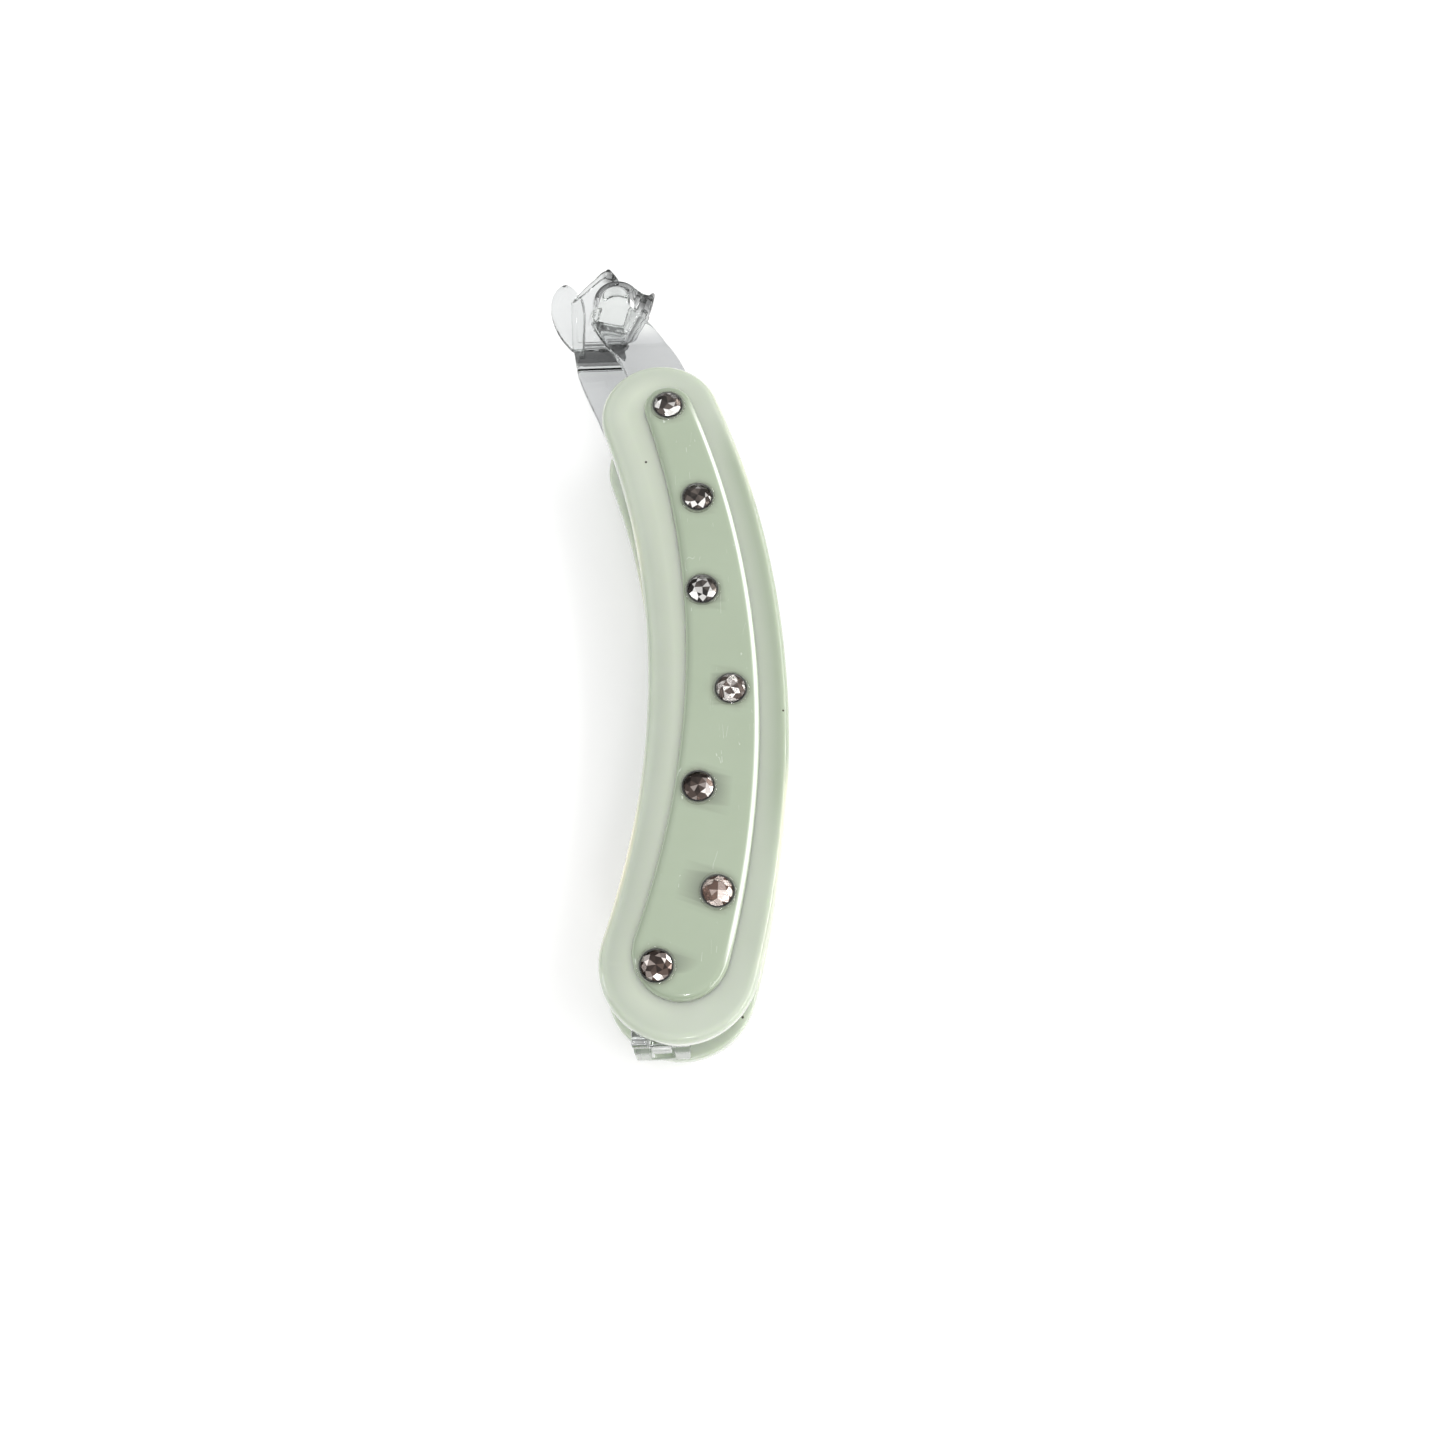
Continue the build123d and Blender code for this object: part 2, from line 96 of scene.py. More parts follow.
class Banana:
    """A banana outline: two end rounds and the two arcs that touch them, at any inset."""

    def __init__(self, latch_end, hinge_end, latch_round, hinge_round, convex, concave):
        self.latch_end, self.hinge_end = latch_end, hinge_end
        self.latch_round, self.hinge_round = latch_round, hinge_round
        self.convex, self.concave = convex, concave
        self.outer = arc_centre(latch_end, hinge_end, convex - latch_round, convex - hinge_round)
        self.inner = arc_centre(latch_end, hinge_end, concave + latch_round, concave + hinge_round)

    def ring(self, inset):
        """Points round the outline, anticlockwise from the foot of the convex side."""
        right_low = self.outer + (self.hinge_end - self.outer).normalized() * (self.convex - inset)
        right_high = self.outer + (self.latch_end - self.outer).normalized() * (self.convex - inset)
        left_high = self.inner + (self.latch_end - self.inner).normalized() * (self.concave + inset)
        left_low = self.inner + (self.hinge_end - self.inner).normalized() * (self.concave + inset)
        arcs = [
            (self.outer, right_low, right_high, LONG_STEPS, 1),
            (self.latch_end, right_high, left_high, END_STEPS, 1),
            (self.inner, left_high, left_low, LONG_STEPS, -1),
            (self.hinge_end, left_low, right_low, END_STEPS, 1),
        ]
        points = []
        for centre, start, end, steps, sense in arcs:
            first = math.atan2(start.y - centre.y, start.x - centre.x)
            last = math.atan2(end.y - centre.y, end.x - centre.x)
            if (last - first) * sense < 0:
                last += 2 * math.pi * sense
            reach = (start - centre).length
            for step in range(steps):
                angle = first + (last - first) * step / steps
                points.append(centre + Vector((math.cos(angle), math.sin(angle))) * reach)
        return points


PLATE_OUTLINE = Banana(
    spine_point(LATCH_END_Y), spine_point(HINGE_END_Y),
    LATCH_END_ROUND, HINGE_END_ROUND, CONVEX_RADIUS, CONCAVE_RADIUS,
)
OVERLAY_OUTLINE = Banana(
    spine_point(LATCH_END_Y, LATCH_END_SIDESTEP), spine_point(HINGE_END_Y + HINGE_END_SETBACK),
    LATCH_END_ROUND - LATCH_END_MARGIN, HINGE_END_ROUND - HINGE_END_MARGIN,
    CONVEX_RADIUS - CONVEX_MARGIN, CONCAVE_RADIUS + CONCAVE_MARGIN,
)


def arms_origin():
    """Where the arms' own frame has its origin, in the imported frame, in millimetres."""
    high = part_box("front_plate")[1] / MM
    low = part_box("rear_plate")[0] / MM
    return Vector((
        high.x - PLATE_OUTLINE.outer.x - CONVEX_RADIUS,
        high.y - LATCH_END_Y - LATCH_END_ROUND,
        (high.z + low.z) / 2,
    ))


ORIGIN = arms_origin()
PLATE_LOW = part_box("front_plate")[0].z / MM - ORIGIN.z
PLATE_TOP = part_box("front_plate")[1].z / MM - ORIGIN.z
FACE_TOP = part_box("front_overlay")[1].z / MM - ORIGIN.z
STONE_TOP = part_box("front_rhinestone_1")[1].z / MM - ORIGIN.z
LATCH_BASE = spine_point(LATCH_END_Y)


def place(point, side="front"):
    """A point of the arms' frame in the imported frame; the rear arm is the front one turned over."""
    z = point[2] if side == "front" else -point[2]
    return (Vector((point[0], point[1], z)) + ORIGIN) * MM


# ---------------------------------------------------------------- meshes

def new_object(name, vertices, faces, smooth=True):
    mesh = bpy.data.meshes.new(name)
    mesh.from_pydata(vertices, [], faces)
    mesh.validate()
    made = bmesh.new()
    made.from_mesh(mesh)
    bmesh.ops.recalc_face_normals(made, faces=made.faces)
    made.to_mesh(mesh)
    made.free()
    if smooth:
        mesh.shade_smooth()
    piece = bpy.data.objects.new(name, mesh)
    bpy.context.scene.collection.objects.link(piece)
    return piece


def finish_piece(piece, body, nodes, material):
    piece.data.materials.clear()
    piece.data.materials.append(material)
    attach(piece, body)
    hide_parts(*nodes)
    return piece


def apply_modifiers(piece):
    graph = bpy.context.evaluated_depsgraph_get()
    mesh = bpy.data.meshes.new_from_object(piece.evaluated_get(graph), depsgraph=graph)
    old = piece.data
    piece.modifiers.clear()
    piece.data = mesh
    bpy.data.meshes.remove(old)
    return piece


def stacked_rings(outline, stations):
    """Vertices and faces of a closed solid from rings at (inset, z) stations, bottom to top."""
    vertices = []
    for inset, z in stations:
        vertices += [(point.x, point.y, z) for point in outline.ring(inset)]
    count = 2 * (LONG_STEPS + END_STEPS)
    faces = []
    for level in range(len(stations) - 1):
        low = level * count
        for step in range(count):
            after = (step + 1) % count
            faces.append((low + step, low + after, low + count + after, low + count + step))
    start = LONG_STEPS + END_STEPS // 2
    for low in (0, (len(stations) - 1) * count):
        for step in range(count // 2):
            corners = [start + step, start + step + 1, start - step - 1, start - step]
            corners = [low + corner % count for corner in corners]
            faces.append(tuple(dict.fromkeys(corners)))
    return vertices, faces


def round_stations(inset, z, across, up, start, end, steps):
    """Stations along a quarter of an ellipse about (inset, z), from one angle to another."""
    made = []
    for step in range(steps + 1):
        angle = math.radians(start + (end - start) * step / steps)
        made.append((inset - across * math.cos(angle), z + up * math.sin(angle)))
    return made


def clamp(value):
    return min(1.0, max(0.0, value))


def sway(point, size, reach):
    """A slow, slight unevenness of moulded and polished plastic."""
    return noise.noise(Vector(point) / reach) * size


# ---------------------------------------------------------------- shader nodes

# A Mix node's sockets for colours: its factor, A and B, and its result
MIX_SOCKETS = (0, 6, 7)
MIX_RESULT = 2


class Shader:
    """A material's node tree with short names for what this scene uses."""

    def __init__(self, name):
        self.material = bpy.data.materials.new(name)
        self.material.use_nodes = True
        self.tree = self.material.node_tree
        self.tree.nodes.clear()
        self.output = self.tree.nodes.new("ShaderNodeOutputMaterial")

    def add(self, kind, settings=None, **inputs):
        made = self.tree.nodes.new("ShaderNode" + kind)
        for name, value in (settings or {}).items():
            setattr(made, name, value)
        for name, value in inputs.items():
            self.feed(made.inputs[name.replace("_", " ")], value)
        return made

    def feed(self, socket, value):
        if isinstance(value, bpy.types.NodeSocket):
            self.tree.links.new(value, socket)
        else:
            socket.default_value = value

    def position(self):
        """The object's own coordinates, in metres, which stay with the piece when it moves."""
        return self.add("TexCoord").outputs["Object"]

    def stretched(self, scale):
        mapping = self.add("Mapping", Scale=scale)
        self.tree.links.new(self.position(), mapping.inputs["Vector"])
        return mapping.outputs["Vector"]

    def noise(self, scale, detail=2.0, roughness=0.5, stretch=(1, 1, 1)):
        made = self.add("TexNoise", Scale=scale, Detail=detail, Roughness=roughness)
        self.tree.links.new(self.stretched(stretch), made.inputs["Vector"])
        return made.outputs["Fac"]

    def ramp(self, value, *stops):
        """Maps a value through (place, grey or colour) stops."""
        made = self.add("ValToRGB")
        self.tree.links.new(value, made.inputs["Fac"])
        elements = made.color_ramp.elements
        while len(elements) < len(stops):
            elements.new(0.5)
        for element, (where, colour) in zip(elements, stops):
            element.position = where
            element.color = (*colour, 1) if isinstance(colour, tuple) else (colour,) * 3 + (1,)
        return made.outputs["Color"]

    def mix(self, factor, first, second):
        made = self.add("Mix", {"data_type": "RGBA"})
        for index, value in zip(MIX_SOCKETS, (factor, first, second)):
            self.feed(made.inputs[index], (*value, 1) if isinstance(value, tuple) else value)
        return made.outputs[MIX_RESULT]

    def math(self, operation, first, second=0.0, third=0.0):
        made = self.add("Math", {"operation": operation})
        for socket, value in zip(made.inputs, (first, second, third)):
            self.feed(socket, value)
        return made.outputs[0]

    def span(self, value, low, high):
        """A value from 0 to 1 spread over low to high."""
        return self.math("MULTIPLY_ADD", value, high - low, low)

    def attribute(self, name):
        return self.add("Attribute", {"attribute_name": name}).outputs["Fac"]

    def bump(self, height, strength, distance, normal=None):
        made = self.add("Bump", Height=height, Strength=strength, Distance=distance)
        if normal:
            self.tree.links.new(normal, made.inputs["Normal"])
        return made.outputs["Normal"]

    def surface(self, shader):
        self.tree.links.new(shader, self.output.inputs["Surface"])
        return self.material


def scratches(shader, scale, share):
    """Height of sparse hairline scratches: 0 on the surface, 1 in a scratch."""
    wave = shader.add("TexNoise", Scale=scale, Detail=0.0, Distortion=0.6)
    shader.tree.links.new(shader.stretched((1.0, 0.12, 1.0)), wave.inputs["Vector"])
    line = shader.math("ABSOLUTE", shader.math("SUBTRACT", wave.outputs["Fac"], 0.5))
    thin = shader.math("LESS_THAN", line, share)
    patch = shader.math("GREATER_THAN", shader.noise(scale * 0.6), 0.62)
    return shader.math("MULTIPLY", thin, patch)


def specks(shader, scale, share, size):
    """1 in sparse tiny specks, 0 elsewhere."""
    cells = shader.add("TexVoronoi", Scale=scale, Randomness=1.0)
    shader.tree.links.new(shader.position(), cells.inputs["Vector"])
    near = shader.math("LESS_THAN", cells.outputs["Distance"], size)
    separate = shader.add("SeparateColor")
    shader.tree.links.new(cells.outputs["Color"], separate.inputs["Color"])
    chosen = shader.math("LESS_THAN", separate.outputs["Red"], share)
    return shader.math("MULTIPLY", near, chosen)


def jelly_plastic():
    """Milky, translucent light green plastic with a few dark specks, a painted warm highlight along its
    edges, painted light on the inner half of its rim and painted shade on the outer half of the front plate's
    rim on the convex side.
    """
    made = Shader("jelly_plastic")
    cloud = made.noise(70.0, 3.0, 0.55, (1.0, 0.45, 1.0))
    body = made.ramp(cloud, (0.3, (0.455, 0.50, 0.42)), (0.7, (0.51, 0.555, 0.475)))
    # Painted shade on the outer half of the rim, on the convex side of the front plate
    with_painted_shade = made.mix(made.attribute("painted_shade_band"), body, (0.335, 0.39, 0.295))
    # Painted light on the inner half of the rim, strongest on the concave side
    inner = made.mix(made.attribute("painted_light_band"), with_painted_shade, (0.63, 0.68, 0.57))
    # Painted warm highlight along the plate's edges
    edge = made.mix(made.attribute("edge"), inner, (0.78, 0.76, 0.60))
    colour = made.mix(specks(made, 520.0, 0.035, 0.11), edge, (0.06, 0.05, 0.04))
    rough = made.span(made.noise(420.0, 4.0), 0.05, 0.16)
    wavy = made.bump(made.noise(95.0, 1.0), 0.25, 0.00025)
    fine = made.bump(scratches(made, 900.0, 0.004), 0.35, 0.00002, wavy)
    shader = made.add(
        "BsdfPrincipled", {"subsurface_method": "RANDOM_WALK"},
        Base_Color=colour, Roughness=rough, Normal=fine, IOR=1.5,
        Subsurface_Weight=1.0, Subsurface_Radius=(1.0, 1.1, 0.85), Subsurface_Scale=0.0022,
        Coat_Weight=0.6, Coat_Roughness=0.03,
    )
    return made.surface(shader.outputs["BSDF"])


def pastel_plastic():
    """Solid pastel green plastic, polished, with faint haze and scratches, painted shade round the stone
    pockets and a painted highlight along the convex edge.
    """
    made = Shader("pastel_plastic")
    cloud = made.noise(55.0, 4.0, 0.6)
    body = made.ramp(cloud, (0.3, (0.33, 0.395, 0.285)), (0.7, (0.355, 0.42, 0.31)))
    # Painted shade round each stone
    painted_stone_shade = made.mix(made.attribute("painted_stone_shade"), body, (0.16, 0.185, 0.135))
    lines = scratches(made, 700.0, 0.005)
    # Painted highlight along the overlay's convex rounding
    with_painted_highlight = made.mix(made.attribute("painted_highlight"), painted_stone_shade, (0.78, 0.83, 0.74))
    colour = made.mix(made.math("MULTIPLY", lines, 0.5), with_painted_highlight, (0.72, 0.78, 0.68))
    rough = made.span(made.noise(380.0, 5.0), 0.10, 0.24)
    wavy = made.bump(made.noise(80.0, 1.0), 0.2, 0.0002)
    fine = made.bump(lines, 0.4, 0.00002, wavy)
    shader = made.add(
        "BsdfPrincipled", {"subsurface_method": "RANDOM_WALK"},
        Base_Color=colour, Roughness=rough, Normal=fine, IOR=1.5,
        Subsurface_Weight=0.35, Subsurface_Radius=(0.9, 1.0, 0.8), Subsurface_Scale=0.0009,
        Coat_Weight=1.0, Coat_Roughness=0.03,
    )
    return made.surface(shader.outputs["BSDF"])


PAINTED_DARK_SHARE = 0.12                 # what is left of the tint where it is painted dark, for painted shade and painted dark refraction lines
PAINTED_CLEAR_TINT = (0.93, 0.94, 0.93)              # painted lighter tint, standing in for light coming through the clear plastic


def see_through(name, tint, roughness, ior, absorb, density, bump_scale, bump_strength):
    """Clear plastic or glue that lets lamps through, so that what lies under it is lit."""
    made = Shader(name)
    rough = made.span(made.noise(300.0, 3.0), *roughness)
    wavy = made.bump(made.noise(bump_scale, 2.0), bump_strength, 0.0003)
    # Painted lighter tint where the clear plastic is given more light
    usual = made.mix(made.attribute("painted_clearing"), tint, PAINTED_CLEAR_TINT)
    # Darkened where painted shade or painted dark refraction lines are put
    colour = made.mix(made.attribute("painted_dark"), usual, tuple(value * PAINTED_DARK_SHARE for value in tint))
    clear = made.add(
        "BsdfPrincipled", Base_Color=colour, Roughness=rough, Normal=wavy, IOR=ior,
        Transmission_Weight=1.0,
    )
    passing = made.add("BsdfTransparent", Color=(*tint, 1))
    choose = made.add("MixShader")
    made.tree.links.new(made.add("LightPath").outputs["Is Shadow Ray"], choose.inputs[0])
    made.tree.links.new(clear.outputs["BSDF"], choose.inputs[1])
    made.tree.links.new(passing.outputs["BSDF"], choose.inputs[2])
    if density:
        volume = made.add("VolumeAbsorption", Color=(*absorb, 1), Density=density)
        made.tree.links.new(volume.outputs["Volume"], made.output.inputs["Volume"])
    return made.surface(choose.outputs["Shader"])


def clear_plastic():
    return see_through(
        "clear_plastic", (0.66, 0.67, 0.68), (0.0, 0.04), 1.55, (0.62, 0.66, 0.64), 70.0, 260.0, 0.3,
    )


def clear_glue():
    return see_through(
        "clear_glue", (0.97, 0.97, 0.95), (0.0, 0.06), 1.48, (0.6, 0.6, 0.5), 0.0, 900.0, 0.35,
    )


def stone_foil():
    """A stone's facets: each is painted with the reflection that its foil would show, some with painted
    highlights, and age has crazed some.
    """
    made = Shader("stone_foil")
    # Each facet's painted reflection, from black through brown-grey to a white painted highlight
    tone = made.attribute("tone")
    silver = made.ramp(
        tone, (0.0, (0.018, 0.015, 0.013)), (0.5, (0.11, 0.095, 0.085)), (1.0, (0.98, 0.97, 0.95)),
    )
    pink = made.ramp(
        tone, (0.0, (0.03, 0.016, 0.011)), (0.5, (0.17, 0.105, 0.082)), (1.0, (0.98, 0.86, 0.80)),
    )
    colour = made.mix(made.attribute("warm"), silver, pink)
    crazing = made.add("TexVoronoi", {"feature": "F1"}, Scale=5200.0)
    made.tree.links.new(made.position(), crazing.inputs["Vector"])
    craze = made.add("Bump", Distance=0.00012)
    made.tree.links.new(crazing.outputs["Distance"], craze.inputs["Height"])
    made.tree.links.new(made.attribute("craze"), craze.inputs["Strength"])
    shader = made.add(
        "BsdfPrincipled", Base_Color=colour, Metallic=1.0, Normal=craze.outputs["Normal"],
        Roughness=made.span(made.noise(1400.0, 2.0), 0.12, 0.26), Coat_Weight=0.5, Coat_Roughness=0.03,
    )
    return made.surface(shader.outputs["BSDF"])


def pin_steel():
    made = Shader("pin_steel")
    drawn = made.noise(1600.0, 3.0, 0.6, (0.05, 1.0, 1.0))
    colour = made.ramp(drawn, (0.3, (0.42, 0.42, 0.43)), (0.7, (0.58, 0.58, 0.57)))
    shader = made.add(
        "BsdfPrincipled", Base_Color=colour, Metallic=1.0, Roughness=made.span(drawn, 0.2, 0.4),
        Normal=made.bump(drawn, 0.2, 0.00003),
    )
    return made.surface(shader.outputs["BSDF"])


TABLE_GLOW = 0.15            # lifts the white table to the brightness of a lit backdrop


def white_table():
    made = Shader("white_table")
    cloud = made.noise(6.0, 2.0)
    colour = made.ramp(cloud, (0.3, (0.86, 0.86, 0.86)), (0.7, (0.88, 0.875, 0.875)))
    shader = made.add(
        "BsdfPrincipled", Base_Color=colour, Roughness=0.6, IOR=1.4,
        Emission_Color=(1.0, 1.0, 1.0, 1), Emission_Strength=TABLE_GLOW,
    )
    return made.surface(shader.outputs["BSDF"])


# ---------------------------------------------------------------- plates and overlays

CROWN_SLOPE = 8.0            # degrees that the outer half of the plate's face falls away
PLATE_ROUNDING = 1.2
PLATE_INNER_ROUNDING = 0.5
PLATE_MIDDLE = 9.2           # inset of the last ring round the plate's flat middle
OVERLAY_ROUND_ACROSS = 1.35
OVERLAY_ROUND_UP = 1.0
OVERLAY_MIDDLE = 3.5         # inset of the last ring round the overlay's flat middle
OVERLAY_SINK = 0.05          # how far the overlay reaches into its plate

# Unevenness of the mouldings: how much, and over what distance
FACE_SWAY = (0.03, 9.0)
SIDE_SWAY = (0.05, 14.0)

EDGE_HIGHLIGHT_WIDTH = 0.9              # width of the painted warm highlight along a plate's edge
HIGHLIGHT_STREAK_BASE = 0.05
HIGHLIGHT_STREAK_SIZE = 1.1
HIGHLIGHT_STREAK_REACH = 14.0
WARM_HIGHLIGHT = 0.8            # the strongest streak of the painted highlight, where the arm narrows to the hinge end
WARM_HIGHLIGHT_Y = -29.0
WARM_HIGHLIGHT_REACH = 9.0
PAINTED_BANDS_SPLIT = (2.2, 2.9)       # where the inner half of the rim, which gets the painted light, begins
PAINTED_BANDS_FADE = 9.0              # width over which the painted light dies away from the concave to the convex side, and the painted shade comes in
PAINTED_LIGHT_LEAST = 0.1
PAINTED_LIGHT_GAIN = 0.8
PAINTED_SHADE_MOST = 0.8              # strength of the painted shade on the outer half of the rim, on the convex side
PAINTED_SHADE_FROM_HINGE = (11.0, 14.0)               # where it begins, and the length over which it comes in
PAINTED_SHADE_TO_LATCH = 10.0                         # length over which it dies away before the latch end


def plate_stations():
    low, top = PLATE_LOW, PLATE_TOP
    made = [(PLATE_MIDDLE, low), (5.0, low), (2.0, low)]
    small, large = PLATE_INNER_ROUNDING, PLATE_ROUNDING
    made += round_stations(small, low + small, small, small, -90, 0, 5)
    made += round_stations(large, top - large, large, large, 0, 90 - CROWN_SLOPE, 10)
    inset, z = made[-1]
    crease = inset + (top - z) / math.tan(math.radians(CROWN_SLOPE))
    for share in (0.3, 0.6, 0.85):
        made.append((inset + (crease - inset) * share, z + (top - z) * share))
    made += [(crease + 0.25, top - 0.004), (crease + 0.6, top)]
    made += [(4.0, top), (6.0, top), (PLATE_MIDDLE, top)]
    return made


def overlay_stations():
    low, top = PLATE_TOP - OVERLAY_SINK, FACE_TOP
    made = [(OVERLAY_MIDDLE, low), (1.0, low), (0.0, low), (0.0, top - OVERLAY_ROUND_UP - 0.2)]
    made += round_stations(OVERLAY_ROUND_ACROSS, top - OVERLAY_ROUND_UP,
                           OVERLAY_ROUND_ACROSS, OVERLAY_ROUND_UP, 0, 90, 14)
    made += [(1.7, top), (2.4, top), (OVERLAY_MIDDLE, top)]
    return made


def nearest_edge(outline, point):
    """How far inside the outline a point is; negative outside."""
    flat = point.xy
    if outline.hinge_end.y < point.y < outline.latch_end.y:
        return min(
            outline.convex - (flat - outline.outer).length, (flat - outline.inner).length - outline.concave,
        )
    return max(
        outline.latch_round - (flat - outline.latch_end).length,
        outline.hinge_round - (flat - outline.hinge_end).length,
    )


def banana_solid(name, outline, stations, side):
    """A slightly uneven moulding, drawn in by as much as its sides sway, so that it stays inside."""
    vertices, faces = stacked_rings(outline, [(inset + SIDE_SWAY[0], z) for inset, z in stations])
    moved = []
    for x, y, z in vertices:
        lift = sway((x, y, z), *FACE_SWAY)
        moved.append(place((x + sway((y, x, z), *SIDE_SWAY), y, min(z + lift, z)), side))
    return new_object(name, moved, faces)


def paint(piece, name, value):
    """Stores a value at each vertex, worked out from its place in the arms' frame."""
    layer = piece.data.attributes.new(name, "FLOAT", "POINT")
    for vertex, item in zip(piece.data.vertices, layer.data):
        item.value = value(vertex.co / MM - ORIGIN)


def paint_faces(mesh, name, values):
    mesh.attributes.new(name, "FLOAT", "FACE").data.foreach_set("value", values)


def plate(side, material):
    piece = banana_solid(f"{side}_jelly_plate", PLATE_OUTLINE, plate_stations(), side)

    # Painted highlight: strongest at the plate's edge, in streaks, and most where the arm narrows to the
    # hinge end
    def edge(point):
        inside = nearest_edge(PLATE_OUTLINE, point)
        band = max(0.0, 1.0 - inside / EDGE_HIGHLIGHT_WIDTH)
        streak = HIGHLIGHT_STREAK_BASE + HIGHLIGHT_STREAK_SIZE * noise.noise(Vector((point.x, point.y, 0.0)) / HIGHLIGHT_STREAK_REACH)
        streak += WARM_HIGHLIGHT * math.exp(-((point.y - WARM_HIGHLIGHT_Y) / WARM_HIGHLIGHT_REACH) ** 2)
        return min(1.0, band * max(0.0, streak))

    def bands(point):
        """How far a point is onto the inner band, and how far to the concave side, both 0 to 1."""
        inside = nearest_edge(PLATE_OUTLINE, point)
        across = SPINE_RADIUS - (point.xy - PLATE_OUTLINE.inner).length
        left = clamp(across / PAINTED_BANDS_FADE + 0.5)
        inner = clamp((inside - PAINTED_BANDS_SPLIT[0]) / (PAINTED_BANDS_SPLIT[1] - PAINTED_BANDS_SPLIT[0]))
        return inner, left * left * (3 - 2 * left)

    # Painted light: the inner half of the rim, more on the concave side
    def painted_light_band(point):
        inner, left = bands(point)
        return inner * (PAINTED_LIGHT_LEAST + PAINTED_LIGHT_GAIN * left)

    # Painted shade: the outer half of the rim on the convex side, fading out towards both ends
    def painted_shade_band(point):
        if side == "rear":
            return 0.0
        inner, left = bands(point)
        start, length = PAINTED_SHADE_FROM_HINGE
        low, high = (point.y - HINGE_END_Y - start) / length, (LATCH_END_Y - point.y) / PAINTED_SHADE_TO_LATCH
        return PAINTED_SHADE_MOST * (1 - inner) * (1 - left) * min(1.0, max(0.0, low), max(0.0, high))

    paint(piece, "edge", edge)
    paint(piece, "painted_light_band", painted_light_band)
    paint(piece, "painted_shade_band", painted_shade_band)
    return finish_piece(piece, f"{side}_arm", [f"{side}_plate"], material)


POCKET_DEPTH = 1.15
POCKET_RADIUS = 2.3
POCKET_STEPS = 48
CUT_CLEAR = 1.0              # how far a cutter stands above the face that it cuts


def stone_centre(number, side):
    low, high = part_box(f"{side}_rhinestone_{number}")
    return ((low + high) / 2 / MM - ORIGIN).xy


def cutter(side):
    """All of an overlay's pockets as one object."""
    vertices, faces = [], []
    for number in range(1, STONES + 1):
        centre = stone_centre(number, side)
        first, above = len(vertices), len(vertices) + POCKET_STEPS
        for z in (FACE_TOP - POCKET_DEPTH, FACE_TOP + CUT_CLEAR):
            for step in range(POCKET_STEPS):
                angle = 2 * math.pi * step / POCKET_STEPS
                vertices.append(place((
                    centre.x + POCKET_RADIUS * math.cos(angle), centre.y + POCKET_RADIUS * math.sin(angle), z,
                ), side))
        for step in range(POCKET_STEPS):
            after = (step + 1) % POCKET_STEPS
            faces.append((first + step, first + after, above + after, above + step))
        faces.append(tuple(range(first, above)))
        faces.append(tuple(range(above, above + POCKET_STEPS)))
    return new_object("pockets", vertices, faces, smooth=False)


def sharp_by_angle(piece, degrees):
    """Smooth shading that stops at edges sharper than the angle."""
    made = bmesh.new()
    made.from_mesh(piece.data)
    limit = math.radians(degrees)
    for edge in made.edges:
        edge.smooth = len(edge.link_faces) != 2 or edge.calc_face_angle(0.0) < limit
    made.to_mesh(piece.data)
    made.free()


STONE_SHADE_FROM = 2.2              # the painted shade round a stone is darkest this near its centre
STONE_SHADE_WIDTH = 1.6
PAINTED_HIGHLIGHT_AT = 0.5               # how far inside the overlay's convex edge the painted highlight on its rounding lies
PAINTED_HIGHLIGHT_WIDTH = 0.38
PAINTED_HIGHLIGHT_GAIN = 1.6             # flattens the middle of the painted highlight
PAINTED_HIGHLIGHT_PAST_HINGE = 3.0       # how far it runs past the centres of the end rounds
PAINTED_HIGHLIGHT_PAST_LATCH = 1.0
PAINTED_HIGHLIGHT_FADE = 5.0


def overlay(side, material):
    piece = banana_solid(f"{side}_pastel_overlay", OVERLAY_OUTLINE, overlay_stations(), side)
    tool = cutter(side)
    cut = piece.modifiers.new("pockets", "BOOLEAN")
    cut.operation, cut.solver, cut.object = "DIFFERENCE", "EXACT", tool
    apply_modifiers(piece)
    bpy.data.objects.remove(tool)
    sharp_by_angle(piece, 40.0)
    centres = [stone_centre(number, side) for number in range(1, STONES + 1)]

    # Painted shade round the stones
    def painted_stone_shade(point):
        near = min((point.xy - centre).length for centre in centres)
        return max(0.0, 1.0 - max(0.0, near - STONE_SHADE_FROM) / STONE_SHADE_WIDTH) ** 2

    # Painted highlight on the rounding of the convex edge, fading out at the ends
    def painted_highlight(point):
        inside = OVERLAY_OUTLINE.convex - (point.xy - OVERLAY_OUTLINE.outer).length
        across = max(0.0, 1.0 - abs(inside - PAINTED_HIGHLIGHT_AT) / PAINTED_HIGHLIGHT_WIDTH)
        low = OVERLAY_OUTLINE.hinge_end.y - PAINTED_HIGHLIGHT_PAST_HINGE
        high = OVERLAY_OUTLINE.latch_end.y + PAINTED_HIGHLIGHT_PAST_LATCH
        ends = clamp(min(point.y - low, high - point.y) / PAINTED_HIGHLIGHT_FADE)
        return min(1.0, PAINTED_HIGHLIGHT_GAIN * across) * ends

    paint(piece, "painted_stone_shade", painted_stone_shade)
    paint(piece, "painted_highlight", painted_highlight)
    return finish_piece(piece, f"{side}_arm", [f"{side}_overlay"], material)


# ---------------------------------------------------------------- rhinestones

GIRDLE_RADIUS = 2.15
TABLE_RADIUS = 1.2
STAR_RADIUS = 1.65
GIRDLE_RISE = 0.2            # top of the girdle above the overlay's face
GIRDLE_BAND = 0.12
CULET_DEPTH = 1.05
PAVILION_RING = 1.0
PAVILION_FULLNESS = 0.93     # below 1 the pavilion bulges past a straight cone
HALF_FACET = math.pi / 8
PAINTED_GLINT_REACH = 24.0           # degrees to either side of its direction
PAINTED_GLINT_FROM = TABLE_RADIUS * 0.8              # facets nearer the middle get no painted highlight

